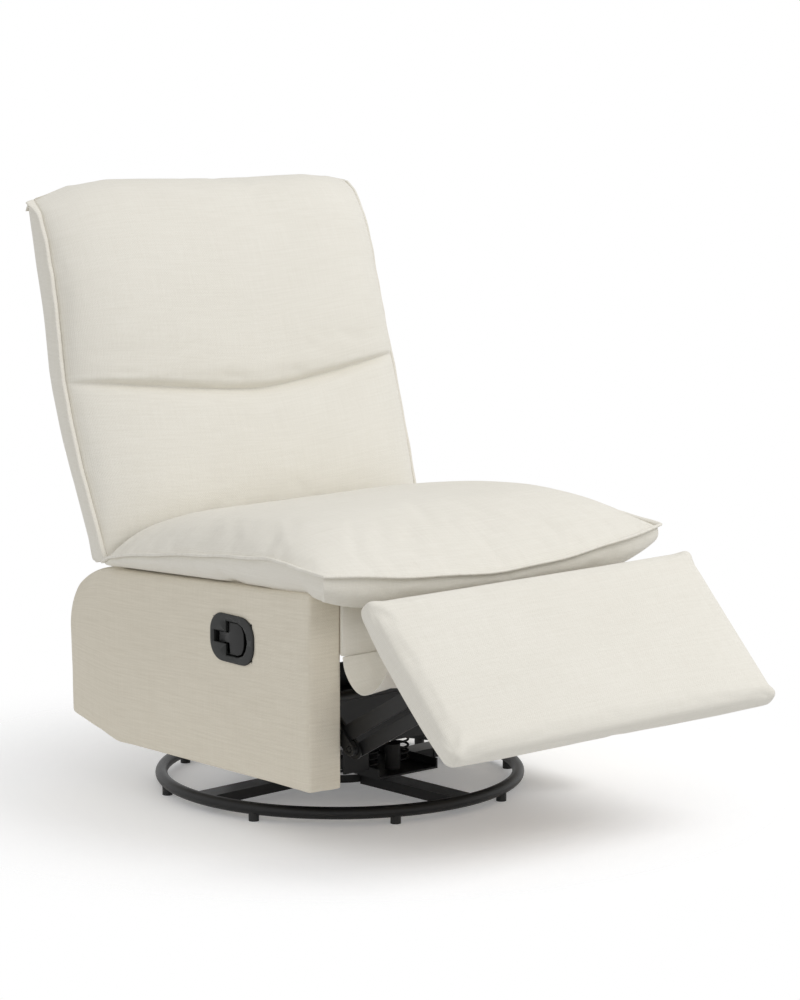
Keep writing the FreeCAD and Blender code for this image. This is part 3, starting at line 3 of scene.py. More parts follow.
import bmesh
import bpy
import numpy as np
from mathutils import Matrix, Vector


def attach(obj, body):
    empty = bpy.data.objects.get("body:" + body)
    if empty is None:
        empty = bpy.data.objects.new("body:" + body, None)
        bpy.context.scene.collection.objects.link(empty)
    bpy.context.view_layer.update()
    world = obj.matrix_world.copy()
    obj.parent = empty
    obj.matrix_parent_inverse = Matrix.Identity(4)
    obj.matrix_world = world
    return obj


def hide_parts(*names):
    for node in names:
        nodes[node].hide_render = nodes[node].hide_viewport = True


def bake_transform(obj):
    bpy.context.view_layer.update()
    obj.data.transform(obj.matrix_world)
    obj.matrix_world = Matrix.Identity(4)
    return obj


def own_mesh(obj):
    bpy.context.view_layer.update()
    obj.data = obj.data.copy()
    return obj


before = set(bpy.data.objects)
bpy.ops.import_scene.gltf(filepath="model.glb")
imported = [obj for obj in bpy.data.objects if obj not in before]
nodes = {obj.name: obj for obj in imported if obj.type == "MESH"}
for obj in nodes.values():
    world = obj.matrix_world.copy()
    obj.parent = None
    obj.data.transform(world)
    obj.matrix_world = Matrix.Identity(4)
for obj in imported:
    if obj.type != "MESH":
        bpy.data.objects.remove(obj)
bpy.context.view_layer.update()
scene = bpy.context.scene
scene.view_settings.view_transform = "Standard"


# Camera. A long lens a little above the seat, off the sitter's right front corner, which keeps the
# chair's edges nearly parallel.
eye = Vector((-3.667, -4.476, 1.413))
aside = math.radians(40.26)
dip = math.radians(9.47)
gaze = Vector((math.sin(aside) * math.cos(dip), math.cos(aside) * math.cos(dip), -math.sin(dip)))
lens = bpy.data.cameras.new("camera")
lens.sensor_width = 36.0
lens.lens = 136.0
camera = bpy.data.objects.new("camera", lens)
camera.location = eye
camera.rotation_euler = gaze.to_track_quat("-Z", "Y").to_euler()
scene.collection.objects.link(camera)
scene.camera = camera


# Studio. A white sweep of floor that fades into the white room, one wide lamp above the front, and a
# weaker one on the handle's side.
class Value:
    """A number or vector that changes over a surface. Sums on numbers become Math nodes."""

    def __init__(self, finish, socket):
        self.finish = finish
        self.socket = socket

    def other(self, output):
        return Value(self.finish, self.socket.node.outputs[output])

    def apply(self, operation, second=0.0):
        return self.finish.node("ShaderNodeMath", {"operation": operation}, {0: self, 1: second})

    def __add__(self, other):
        return self.apply("ADD", other)

    def __mul__(self, other):
        return self.apply("MULTIPLY", other)

    def __sub__(self, other):
        return self.apply("SUBTRACT", other)

    def __rsub__(self, other):
        return self.finish.node("ShaderNodeMath", {"operation": "SUBTRACT"}, {0: other, 1: self})

    __radd__ = __add__
    __rmul__ = __mul__


class Finish:
    """A node tree and the shader that its values end in."""

    def __init__(self, owner, shader="Principled BSDF"):
        owner.use_nodes = True
        self.owner = owner
        self.tree = owner.node_tree
        self.shader = self.tree.nodes[shader]

    def node(self, kind, settings=None, sockets=None, output=0):
        made = self.tree.nodes.new(kind)
        for name, setting in (settings or {}).items():
            setattr(made, name, setting)
        self.feed(made, sockets or {})
        return Value(self, made.outputs[output])

    def feed(self, made, sockets):
        for name, value in sockets.items():
            if isinstance(value, Value):
                self.tree.links.new(value.socket, made.inputs[name])
            else:
                made.inputs[name].default_value = value

    def surface(self, **sockets):
        self.feed(self.shader, {name.replace("_", " "): value for name, value in sockets.items()})

    def place(self):
        return self.node("ShaderNodeTexCoord", output="Object")

    def noise(self, vector, scale, detail=2.0, roughness=0.5):
        sockets = {"Vector": vector, "Scale": scale, "Detail": detail, "Roughness": roughness}
        return self.node("ShaderNodeTexNoise", sockets=sockets)

    def stretched(self, vector, by):
        return self.node("ShaderNodeVectorMath", {"operation": "MULTIPLY"}, {0: vector, 1: by})

    def between(self, factor, first, second):
        """A colour part of the way from one colour to another."""
        return self.node("ShaderNodeMix", {"data_type": "RGBA"}, {0: factor, 6: first, 7: second}, 2)

    def bump(self, height, distance, strength=1.0):
        sockets = {"Height": height, "Distance": distance, "Strength": strength}
        return self.node("ShaderNodeBump", sockets=sockets)


def finish_named(name):
    return Finish(bpy.data.materials.new(name))


ROOM_LIGHT = 0.66
room = bpy.data.worlds.new("room")
scene.world = room
walls = Finish(room, "Background")
rays = walls.node("ShaderNodeLightPath", output="Is Camera Ray")
seen = (rays + rays.other("Is Glossy Ray") + rays.other("Is Transmission Ray")).apply("MINIMUM", 1.0)
walls.feed(walls.shader, {"Color": (1, 1, 1, 1), "Strength": ROOM_LIGHT + (1 - ROOM_LIGHT) * seen})

FLOOR_CLEAR = 0.36
FLOOR_END = 0.88
sweep = finish_named("white_sweep")
from_middle = sweep.node("ShaderNodeVectorMath", {"operation": "LENGTH"}, {0: sweep.place()}, "Value")
fade = sweep.node("ShaderNodeMapRange", {"interpolation_type": "SMOOTHSTEP"}, {
    "Value": from_middle, "From Min": FLOOR_CLEAR, "From Max": FLOOR_END, "To Min": 1.0, "To Max": 0.0})
sweep.surface(Base_Color=(0.93, 0.93, 0.935, 1), Roughness=1.0, Specular_IOR_Level=0.0, Alpha=fade,
              Emission_Color=(1, 1, 1, 1), Emission_Strength=0.19)


def new_piece(name, bm, *materials):
    """The finished bmesh as an object at the origin."""
    mesh = bpy.data.meshes.new(name)
    bm.to_mesh(mesh)
    bm.free()
    piece = bpy.data.objects.new(name, mesh)
    for material in materials:
        mesh.materials.append(material.owner)
    scene.collection.objects.link(piece)
    return piece


bm = bmesh.new()
bmesh.ops.create_circle(bm, cap_ends=True, segments=64, radius=FLOOR_END)
new_piece("floor", bm, sweep)


def lamp(name, place, aim, width, power):
    light = bpy.data.lights.new(name, "AREA")
    light.shape = "DISK"
    light.size = width
    light.energy = power
    holder = bpy.data.objects.new(name, light)
    holder.location = place
    holder.rotation_euler = (Vector(aim) - Vector(place)).to_track_quat("-Z", "Y").to_euler()
    scene.collection.objects.link(holder)


lamp("key_lamp", (1.7, -2.4, 3.1), (0.0, -0.1, 0.4), 2.6, 62.0)
lamp("side_lamp", (-3.2, -1.6, 1.9), (0.0, 0.0, 0.4), 2.2, 6.0)


# Base and swivel. A bent steel ring with four welded arms and a hub, powder coated satin black, on
# moulded glides. A plated ball race turns on the hub.
def speckled(name, dark, light, rough, grain, depth):
    """A painted or moulded finish with fine grain and slightly uneven sheen."""
    finish = finish_named(name)
    place = finish.place()
    cloud = finish.noise(place, 14.0, 3.0)
    peel = finish.noise(place, grain, 2.0)
    finish.surface(
        Base_Color=finish.between(cloud, dark, light),
        Roughness=rough + 0.16 * (cloud - 0.5) + 0.1 * (peel - 0.5),
        Normal=finish.bump(peel, depth),
        Specular_IOR_Level=0.35,
    )
    return finish


powder_black = speckled("powder_black", (0.003, 0.003, 0.003, 1), (0.008, 0.008, 0.0085, 1),
                        rough=0.46, grain=900.0, depth=0.00012)
glide_nylon = speckled("glide_nylon", (0.010, 0.010, 0.010, 1), (0.022, 0.022, 0.022, 1),
                       rough=0.55, grain=700.0, depth=0.0001)
stop_rubber = speckled("stop_rubber", (0.008, 0.008, 0.008, 1), (0.03, 0.03, 0.03, 1),
                       rough=0.8, grain=420.0, depth=0.0002)

zinc_plate = finish_named("zinc_plate")
spot = zinc_plate.place()
bloom = zinc_plate.noise(spot, 60.0, 4.0, 0.6)
drawn = zinc_plate.noise(zinc_plate.stretched(spot, (1.0, 8.0, 8.0)), 160.0, 2.0)
zinc_plate.surface(
    Base_Color=zinc_plate.between(bloom, (0.42, 0.42, 0.43, 1), (0.66, 0.66, 0.67, 1)),
    Metallic=1.0,
    Roughness=0.28 + 0.2 * bloom + 0.1 * drawn,
    Normal=zinc_plate.bump(drawn, 0.00004),
)


def coat(finish, *names):
    """Give CAD pieces a finish."""
    for name in names:
        nodes[name].data.materials.clear()
        nodes[name].data.materials.append(finish.owner)


coat(powder_black, "base_ring", "base_arms", "base_hub")
coat(glide_nylon, "base_glides", "ball_cage")
coat(zinc_plate, "swivel_lower_race", "swivel_upper_race", "bearing_balls", "king_bolt")


# Rocker and mechanism. Pressed steel cradle and saddle on a plated shaft, side plates, cross rails and
# the riveted footrest links, all coated black, with plated recline bolts, seat springs and handle pin.
coat(powder_black, "rocker_cradle", "rocker_saddle", "cross_rail_front", "cross_rail_rear",
     "side_plate_left", "side_plate_right", "drive_links", "extension_links", "control_links",
     "stay_links", "torque_tube", "footrest_crossbar", "footrest_brackets", "back_brackets")
coat(zinc_plate, "rocker_shaft", "recline_bolts", "seat_springs", "spring_clips", "handle_pin",
     "handle_spring")
coat(powder_black, "side_plate_bolts", "control_link_pins", "drive_link_pins", "extension_link_pins",
     "footrest_pins")
coat(glide_nylon, "shaft_bushings")
coat(stop_rubber, "rock_stops")


# Rocker springs. Four coils of plated wire stand between the cradle and the saddle; their black coat is
# painted shade, for the dark under the seat where they sit.
bm = bmesh.new()
bm.from_mesh(nodes["rock_springs"].data)
bmesh.ops.remove_doubles(bm, verts=bm.verts, dist=0.000001)
# The black powder coat on the coils is painted shade; the real coils are plated.
coils = new_piece("rock_coils", bm, powder_black)
coils.data.shade_smooth()
coils.data.set_sharp_from_angle(angle=0.7)
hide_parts("rock_springs")
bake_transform(coils)


# Wooden frame. Poplar plywood boards and rails, raw, under the covers; black elastic webbing is
# stretched across the back frame.
raw_ply = finish_named("raw_ply")
spot = raw_ply.place()
figure = raw_ply.noise(raw_ply.stretched(spot, (6.0, 1.0, 14.0)), 9.0, 5.0, 0.6)
pores = raw_ply.noise(raw_ply.stretched(spot, (9.0, 1.0, 30.0)), 60.0, 2.0)
raw_ply.surface(
    Base_Color=raw_ply.between(figure, (0.42, 0.27, 0.14, 1), (0.68, 0.5, 0.3, 1)),
    Roughness=0.6 + 0.15 * pores,
    Normal=raw_ply.bump(pores + figure, 0.0003),
)
coat(raw_ply, "side_board_left", "side_board_right", "front_rail", "rear_rail", "back_upright_left",
     "back_upright_right", "back_top_rail", "back_bottom_rail", "footrest_board")

strap_black = finish_named("strap_black")
rib = strap_black.node("ShaderNodeSeparateXYZ", sockets={0: strap_black.place()}, output="Z")
rib = (rib * 2400.0).apply("SINE")
strap_black.surface(
    Base_Color=strap_black.between(rib, (0.012, 0.012, 0.012, 1), (0.05, 0.05, 0.05, 1)),
    Roughness=0.85,
    Normal=strap_black.bump(rib, 0.0003),
)
coat(strap_black, "back_straps")


# Side panels. Board sides padded with thin foam and covered in cream linen-look cloth, tacked round
# the edges, with the right one cut away for the handle's cup.
THREAD = 0.0021


def cloth(name, dark, light, slubs):
    """A plain weave of uneven yarns, with thick places that run along the weft."""
    finish = finish_named(name)
    flat = finish.node("ShaderNodeUVMap", {"uv_map": "weave"})
    wander = finish.noise(flat, 55.0)
    threads = finish.node("ShaderNodeVectorMath", {"operation": "SCALE"}, {0: flat, "Scale": 1 / THREAD})
    warp = finish.node("ShaderNodeSeparateXYZ", sockets={0: threads}, output="X")
    weft = warp.other("Y") + 1.4 * wander
    warp = warp + 1.4 * wander
    under = (warp.apply("FLOOR") + weft.apply("FLOOR")).apply("FLOORED_MODULO", 2.0)
    warp_ridge = (warp * math.pi).apply("SINE").apply("ABSOLUTE")
    weft_ridge = (weft * math.pi).apply("SINE").apply("ABSOLUTE")
    lift = warp_ridge * under + weft_ridge * (1 - under)
    slub = finish.noise(finish.stretched(threads, (0.03, 0.6, 1.0)), 1.0, 3.0, 0.6)
    cross_slub = finish.noise(finish.stretched(threads, (0.7, 0.025, 1.0)), 1.0, 2.0, 0.6)
    cloud = finish.noise(flat, 5.0)
    tone = 0.42 * lift + slubs * (slub - 0.5) + 0.3 * (cross_slub - 0.5) + 0.3 * cloud + 0.2
    finish.surface(
        Base_Color=finish.between(tone.apply("MINIMUM", 1.0), dark, light),
        Roughness=0.93 - 0.12 * lift,
        Specular_IOR_Level=0.25,
        Sheen_Weight=0.12,
        Sheen_Roughness=0.5,
        Normal=finish.bump(0.7 * lift + 0.6 * slub, 0.0005, 0.55),
    )
    return finish


linen = cloth("cream_linen", (0.70, 0.665, 0.58, 1), (0.885, 0.86, 0.79, 1), 0.45)
# The side panels' cloth is partly a more beige cloth with heavier slubs and partly painted shade: its
# darker, warmer tone also stands in for the shade and warm bounce light on the side panels.
panel_linen = cloth("panel_linen", (0.63, 0.575, 0.46, 1), (0.83, 0.775, 0.66, 1), 0.8)


def lay_weave(bm):
    """Lay the cloth's threads flat on each side of a piece, in metres."""
    weave = bm.loops.layers.uv.verify() if bm.loops.layers.uv else bm.loops.layers.uv.new("weave")
    bm.normal_update()
    for face in bm.faces:
        lean = [abs(part) for part in face.normal]
        away = lean.index(max(lean))
        for loop in face.loops:
            co = loop.vert.co
            loop[weave].uv = ((co.y, co.z), (co.x, co.z), (co.x, co.y))[away]


def soft_block(half, edge, cuts, inner_edge=None):
    """A block of foam in its cover, with its edges rounded off, and less so on its -X side if asked."""
    bm = bmesh.new()
    bmesh.ops.create_cube(bm, size=2.0)
    for axis in range(3):
        runs = [e for e in bm.edges if abs(e.verts[0].co[axis] - e.verts[1].co[axis]) > 1.5]
        bmesh.ops.subdivide_edges(bm, edges=runs, cuts=cuts[axis], use_grid_fill=True)
    for v in bm.verts:
        for axis in range(3):
            part = v.co[axis]
            v.co[axis] = half[axis] * (0.45 * part + 0.55 * math.sin(part * math.pi / 2))
    lay_weave(bm)
    for v in bm.verts:
        turn = inner_edge if inner_edge and v.co.x < 0 else edge
        core = Vector([max(-h + turn, min(h - turn, part)) for part, h in zip(v.co, half)])
        step = v.co - core
        if step.length > 1e-9:
            v.co = core + step.normalized() * min(turn, step.length)
    return bm


def settle(piece, held, pressure, slack=0.0, frames=16, cap=0.012, gravity=0.0, stiff=12.0):
    """Let a piece's cloth find its own shape over its filling, held along its seams."""
    seams = piece.vertex_groups.new(name="seams")
    seams.add(held, 1.0, "REPLACE")
    start = np.array([v.co for v in piece.data.vertices])
    cloth = piece.modifiers.new("cloth", "CLOTH")
    cover = cloth.settings
    cover.quality = 6
    cover.mass = 0.2
    cover.tension_stiffness = stiff
    cover.compression_stiffness = stiff
    cover.shear_stiffness = stiff / 2
    cover.bending_stiffness = 0.4
    cover.air_damping = 3.0
    cover.vertex_group_mass = "seams"
    cover.shrink_min = -slack
    cover.use_pressure = pressure > 0
    cover.uniform_pressure_force = pressure
    cover.effector_weights.gravity = gravity
    cloth.collision_settings.use_collision = False
    for number in range(1, frames + 1):
        scene.frame_set(number)
    shown = piece.evaluated_get(bpy.context.evaluated_depsgraph_get())
    end = np.array([v.co for v in shown.data.vertices])
    piece.modifiers.remove(cloth)
    piece.vertex_groups.clear()
    scene.frame_set(1)
    step = end - start
    length = np.linalg.norm(step, axis=1, keepdims=True)
    step *= np.minimum(1.0, cap / np.maximum(length, 1e-9))
    piece.data.vertices.foreach_set("co", (start + step).ravel())
    piece.data.update()


def smooth(piece, levels=1):
    """Round a piece's facets off."""
    piece.data.shade_smooth()
    if levels:
        rounder = piece.modifiers.new("rounder", "SUBSURF")
        rounder.levels = levels
        rounder.render_levels = levels
    return piece


PANEL_HALF = (0.030, 0.302, 0.150)
PANEL_EDGE = 0.008
PANEL_INNER_EDGE = 0.0025
ARC_MIDDLE = (0.173, 0.243)


def panel_place(co):
    """From the flat block to the panel's outline, with its wide curve at the rear top corner."""
    along = (co.y / PANEL_HALF[1] + 1) / 2
    up = (co.z / PANEL_HALF[2] + 1) / 2
    rear = 0.278 + 0.008 * up
    y = -0.316 + along * (rear + 0.316)
    low = np.interp(y, (-0.316, 0.160, 0.278), (0.088, 0.081, 0.110))
    high = 0.385 - 0.037 * along
    z = low + up * (high - low)
    dy = (y - ARC_MIDDLE[0]) / (rear - ARC_MIDDLE[0])
    dz = (z - ARC_MIDDLE[1]) / (high - ARC_MIDDLE[1])
    if dy > 0 and dz > 0:
        y = ARC_MIDDLE[0] + (rear - ARC_MIDDLE[0]) * dy * math.sqrt(1 - dz * dz / 2)
        z = ARC_MIDDLE[1] + (high - ARC_MIDDLE[1]) * dz * math.sqrt(1 - dy * dy / 2)
    return y, z


def side_panel(side):
    bm = soft_block(PANEL_HALF, PANEL_EDGE, (9, 60, 34), PANEL_INNER_EDGE)
    for v in bm.verts:
        y_share, z_share = v.co.y / PANEL_HALF[1], v.co.z / PANEL_HALF[2]
        full = (1 - y_share ** 6) * (1 - z_share ** 6)
        y, z = panel_place(v.co)
        outward = v.co.x + 0.001 * full if v.co.x > 0 else v.co.x
        v.co = (side * (0.2865 + outward), y, z)
    if side < 0:
        bmesh.ops.reverse_faces(bm, faces=bm.faces)
    return new_piece("side_panel_left" if side > 0 else "side_panel_right", bm, panel_linen)


def near_edge(piece, test):
    """The numbers of a piece's points whose places pass a test."""
    return [v.index for v in piece.data.vertices if test(v.co)]


panel_left = side_panel(1)
panel_right = side_panel(-1)
for panel, side, node in ((panel_left, 1, "side_cover_left"), (panel_right, -1, "side_cover_right")):
    tacked = near_edge(panel, lambda co: abs(co.x) < 0.300)
    settle(panel, tacked, 0.4, slack=0.001, cap=0.0015)
    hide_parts(node)

CUP_ROOM = (0.060, 0.093, 0.057)
CUP_MIDDLE = (-0.3185, -0.140, 0.292)
bm = bmesh.new()
bmesh.ops.create_cube(bm, size=1.0)
bmesh.ops.scale(bm, vec=CUP_ROOM, verts=bm.verts)
bmesh.ops.translate(bm, vec=CUP_MIDDLE, verts=bm.verts)
cup_room = new_piece("cup_room", bm)


def cut_away(piece, tool):
    """Cut one piece's room out of another and drop the tool."""
    smooth(piece)
    cutter = piece.modifiers.new("cutter", "BOOLEAN")
    cutter.object = tool
    cutter.solver = "EXACT"
    shown = piece.evaluated_get(bpy.context.evaluated_depsgraph_get())
    mesh = bpy.data.meshes.new_from_object(shown)
    piece.modifiers.clear()
    piece.data = mesh
    bpy.data.objects.remove(tool)


cut_away(panel_right, cup_room)
smooth(panel_left)
for panel in (panel_left, panel_right):
    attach(panel, "seat")


# Front rail cover. A strip of the same cloth over thin foam, tacked across the front rail under the
# seat cushion.
RAIL_COVER_HALF = (0.2592, 0.0033, 0.040)
RAIL_COVER_MIDDLE = (0.0, -0.3190, 0.3255)
RAIL_COVER_CROWN = 0.0008
bm = soft_block(RAIL_COVER_HALF, 0.0022, (40, 3, 10))
for v in bm.verts:
    full = (1 - (v.co.x / RAIL_COVER_HALF[0]) ** 8) * (1 - (v.co.z / RAIL_COVER_HALF[2]) ** 4)
    v.co.y -= RAIL_COVER_CROWN * full if v.co.y < 0 else 0.0
bmesh.ops.translate(bm, vec=RAIL_COVER_MIDDLE, verts=bm.verts)
rail_cover = new_piece("front_rail_cover_cloth", bm, linen)
settle(rail_cover, near_edge(rail_cover, lambda co: co.y > -0.3195), 0.3, slack=0.002, cap=0.0007)
smooth(rail_cover)
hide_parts("front_rail_cover")
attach(rail_cover, "seat")


# Seat cushion. A pillow top of fibre over foam: a crowned upper panel and a boxing strip below, sewn
# together along a raised flange that runs down both sides and across the front.
SEAT_HALF = 0.330
SEAT_REAR = 0.166
SEAT_FRONT = -0.368
EDGE_Y = (-0.370, -0.325, -0.290, -0.242, -0.149, -0.059, 0.023, 0.112, 0.151, 0.172)
EDGE_Z = (0.419, 0.423, 0.427, 0.428, 0.419, 0.409, 0.398, 0.384, 0.376, 0.362)


def seat_top(s, t, crown=0.057):
    """The upper panel: s runs across from -1 to 1, and t from the back at 0 to the front at 1."""
    side_y = SEAT_REAR + t * (SEAT_FRONT - SEAT_REAR)
    bow = 1 - s * s
    y = side_y - 0.024 * bow * t ** 3 - 0.014 * bow * (1 - t) ** 4
    front = 0.026 * (abs(s) ** 1.5 - 1) * t ** 4
    rear = 0.050 * (1 - s ** 6) * (1 - t) ** 4
    across = max(0.0, 1 - abs(s) ** (6.6 - 3.2 * t)) ** (0.58 + 0.14 * t)
    along = (1 - (1 - t) ** 3.2) * max(0.0, 1 - t ** 5) ** 0.75
    z = np.interp(side_y, EDGE_Y, EDGE_Z) + front + rear + crown * across * along
    return Vector((SEAT_HALF * s, y, z))


def seat_boxing(s, t, depth):
    """The strip from the flange, at depth 0, in under the cushion to its lower edge, at depth 1."""
    top = seat_top(s, t, 0.0)
    ahead = max(0.0, min(1.0, (-0.300 - top.y) / 0.05))
    foot_y = min(0.150, top.y) * (1 - 0.055 * ahead)
    panel = 0.387 - 0.0615 * (max(-0.316, foot_y) + 0.316)
    nose = 0.357 + 0.020 * abs(s) ** 6
    foot = Vector((0.944 * top.x, foot_y, panel + ahead * (nose - panel)))
    swell = 0.010 * math.sin(math.pi * depth)
    aside = Vector((s ** 9, -max(0.0, t) ** 12, 0.0))
    return top.lerp(foot, depth) + aside * swell


def flat_patch(columns, rows):
    """A level sheet whose corners are at -1 and 1, with its place on the sheet kept on each point."""
    bm = bmesh.new()
    across = bm.verts.layers.float.new("across")
    along = bm.verts.layers.float.new("along")
    add_patch(bm, columns, rows, across, along)
    return bm, across, along


def add_patch(bm, columns, rows, across, along):
    made = bmesh.ops.create_grid(bm, x_segments=columns, y_segments=rows, size=1.0)["verts"]
    for v in made:
        v[across] = v.co.x
        v[along] = v.co.y
    return made


def eased(share):
    """Crowd places towards the ends, -1 and 1."""
    return math.copysign(1 - (1 - abs(share)) ** 1.5, share)


def grow_edge(bm):
    """Extrude the open edge of a sheet once, and return its new points."""
    rim = [e for e in bm.edges if e.is_boundary]
    grown = bmesh.ops.extrude_edge_only(bm, edges=rim)["geom"]
    return [g for g in grown if isinstance(g, bmesh.types.BMVert)]


def onto_seat(points):
    """Spread a sheet's points over the seat, closer together at its edges."""
    for v in points:
        v[across] = eased(v[across])
        v[along] = (1 - eased(v[along])) / 2


SEAT_COLUMNS, SEAT_ROWS, BOXING_ROWS = 84, 72, 6
bm, across, along = flat_patch(SEAT_COLUMNS, SEAT_ROWS)
onto_seat(bm.verts)
for v in bm.verts:
    v.co = (SEAT_HALF * v[across], 0.54 * v[along], 0.0)
weave = bm.loops.layers.uv.new("weave")
for face in bm.faces:
    for loop in face.loops:
        loop[weave].uv = loop.vert.co.xy
for v in bm.verts:
    v.co = seat_top(v[across], v[along])
upper_faces = set(bm.faces)
for row in range(BOXING_ROWS):
    for v in grow_edge(bm):
        v.co = seat_boxing(v[across], v[along], (row + 1) / BOXING_ROWS)
underside = add_patch(bm, SEAT_COLUMNS, SEAT_ROWS, across, along)
onto_seat(underside)
for v in underside:
    v.co = seat_boxing(v[across], v[along], 1.0)
bmesh.ops.remove_doubles(bm, verts=bm.verts, dist=1e-5)
for face in bm.faces:
    if face not in upper_faces:
        for loop in face.loops:
            loop[weave].uv = (loop.vert.co.x + loop.vert.co.y, loop.vert.co.z)
bmesh.ops.recalc_face_normals(bm, faces=bm.faces)
bm.verts.index_update()
seat = new_piece("seat_pillow", bm, linen)


def sewn(co):
    """Whether a point is on the cushion's underside or on one of its seams."""
    under_or_rear = co.z < 0.374 or co.y > SEAT_REAR - 0.02
    side_seam = abs(abs(co.x) - SEAT_HALF) < 1e-4
    front_seam = co.y < -0.36 and abs(co.z - seat_top(co.x / SEAT_HALF, 1.0).z) < 0.0005
    return under_or_rear or side_seam or front_seam


settle(seat, near_edge(seat, sewn), 2.0, slack=0.006, cap=0.006)
smooth(seat)
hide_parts("seat_cushion")
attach(seat, "seat")

FLANGE = 0.008


def flange_piece(name, bm, rim, outward, steps=2):
    """A raised seam: the two cloths' turned edges, standing out from the seam as a soft lip."""
    weave = bm.loops.layers.uv.new("weave")
    edges = rim
    for step in range(steps):
        grown = bmesh.ops.extrude_edge_only(bm, edges=edges)["geom"]
        edges = [g for g in grown if isinstance(g, bmesh.types.BMEdge)]
        for v in (g for g in grown if isinstance(g, bmesh.types.BMVert)):
            v.co += outward(v) / steps
    for face in bm.faces:
        for loop in face.loops:
            loop[weave].uv = (loop.vert.co.x + loop.vert.co.y, loop.vert.co.z)
    bmesh.ops.recalc_face_normals(bm, faces=bm.faces)
    piece = new_piece(name, bm, linen)
    wall = piece.modifiers.new("turned_edge", "SOLIDIFY")
    wall.thickness = 0.0046
    wall.offset = 0.0
    smooth(piece)
    return piece


bm, across, along = flat_patch(SEAT_COLUMNS, SEAT_ROWS)
inner = [v for v in bm.verts if abs(v[across]) < 0.999 and v[along] > -0.999]
bmesh.ops.delete(bm, geom=inner, context="VERTS")
onto_seat(bm.verts)
for v in bm.verts:
    v.co = seat_top(v[across], v[along])


def off_seat(v):
    s, t = v[across], v[along]
    way = Vector((s ** 15, -t ** 40, 0.0))
    way /= max(1.0, way.length)
    wave = 0.0010 * math.sin(57.0 * v.co.y + 3.0) + 0.0012 * math.sin(41.0 * v.co.x)
    return way * FLANGE + Vector((0.0, 0.0, 0.0015 + wave))


seat_flange = flange_piece("seat_flange", bm, bm.edges[:], off_seat)
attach(seat_flange, "seat")


# Gap cover. A loose piece of the same cloth, tacked under the front rail and behind the footrest,
# which sags between them and hides the links from above.
COVER_WIDTH = 0.515
COVER_LENGTH = 0.200
COVER_Y = (-0.319, -0.338, -0.356, -0.368, -0.380, -0.408, -0.4365)
COVER_Z = (0.2855, 0.262, 0.240, 0.234, 0.240, 0.278, 0.3168)
bm, across, along = flat_patch(60, 36)
weave = bm.loops.layers.uv.new("weave")
for face in bm.faces:
    for loop in face.loops:
        loop[weave].uv = (loop.vert.co.x * COVER_WIDTH / 2, loop.vert.co.y * COVER_LENGTH / 2)
run = np.concatenate(([0.0], np.cumsum(np.hypot(np.diff(COVER_Y), np.diff(COVER_Z)))))
for v in bm.verts:
    far = run[-1] * (v[along] + 1) / 2
    ripple = 0.006 * math.sin(9.0 * v[across] + 2.0 * v[along]) * (1 - v[along] ** 2)
    v.co = (v[across] * COVER_WIDTH / 2, np.interp(far, run, COVER_Y) + ripple,
            np.interp(far, run, COVER_Z) - ripple)
gap_cloth = new_piece("gap_cover_cloth", bm, linen)
ends = near_edge(gap_cloth, lambda co: co.y > -0.3195 or co.z > 0.314 and co.y < -0.42)
settle(gap_cloth, ends, 0.0, slack=0.03, frames=22, cap=0.05, gravity=1.0, stiff=8.0)
wall = gap_cloth.modifiers.new("cloth_thickness", "SOLIDIFY")
wall.thickness = 0.0014
wall.offset = 0.0
smooth(gap_cloth)
shown = gap_cloth.evaluated_get(bpy.context.evaluated_depsgraph_get())
gap_mesh = bpy.data.meshes.new_from_object(shown)
gap_cloth.modifiers.clear()
gap_cloth.data = gap_mesh
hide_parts("gap_cover")
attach(gap_cloth, "seat")
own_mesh(gap_cloth)


# Backrest. One cover drawn into an upper and a lower pillow by a curved seam, rolled over the top rail
# and boxed at the sides. A raised flange runs up each side seam, and the one on the handle's side ends
# in a small ear at the top.
LEAN = math.radians(16.4)
BACK_FOOT = (0.1864, 0.381)


def on_back(x, up, forward):
    """A place in the leaned back: up along it, and forward of its side seams' plane."""
    y = BACK_FOOT[0] + up * math.sin(LEAN) - forward * math.cos(LEAN)
    z = BACK_FOOT[1] + up * math.cos(LEAN) + forward * math.sin(LEAN)
    return Vector((x, y, z))


HALF_UP = (-0.016, 0.0, 0.126, 0.205, 0.260, 0.314, 0.392, 0.455, 0.516, 0.550, 0.575)
HALF_X = (0.313, 0.316, 0.324, 0.326, 0.326, 0.323, 0.319, 0.318, 0.315, 0.312, 0.306)
SEAM_UP = (-0.016, 0.048, 0.131, 0.223, 0.274, 0.349, 0.431, 0.490, 0.534, 0.558, 0.575)
SEAM_FORWARD = (0.002, 0.0, -0.005, -0.007, -0.0075, -0.003, 0.002, 0.0, -0.009, -0.027, -0.040)
REAR_UP = (-0.016, 0.003, 0.051, 0.116, 0.180, 0.244, 0.292, 0.362, 0.434, 0.504, 0.563)
REAR_FORWARD = (-0.040, -0.040, -0.042, -0.045, -0.051, -0.053, -0.055, -0.050, -0.048, -0.047, -0.049)
TOP_X = (-0.328, -0.262, -0.187, -0.037, 0.079, 0.232, 0.286, 0.328)
TOP_UP = (0.557, 0.574, 0.580, 0.574, 0.570, 0.568, 0.562, 0.553)
LOWER_SHARE = (0.0, 0.10, 0.28, 0.52, 0.76, 0.90, 0.965, 1.0)
LOWER_SWELL = (0.012, 0.030, 0.045, 0.050, 0.048, 0.044, 0.040, 0.031)
UPPER_STEP = (0.0, 0.03, 0.08, 0.16, 0.34, 0.54, 0.70, 0.80, 0.87, 0.92, 0.96, 1.0)
UPPER_SHARE = (0.0, 0.012, 0.05, 0.15, 0.37, 0.60, 0.79, 0.90, 0.965, 1.0, 0.988, 0.95)
UPPER_SWELL = (0.031, 0.048, 0.054, 0.059, 0.062, 0.058, 0.047, 0.032, 0.013, -0.012, -0.034, -0.049)
LOWER_ROWS = 0.36
BACK_SPARE = 0.004
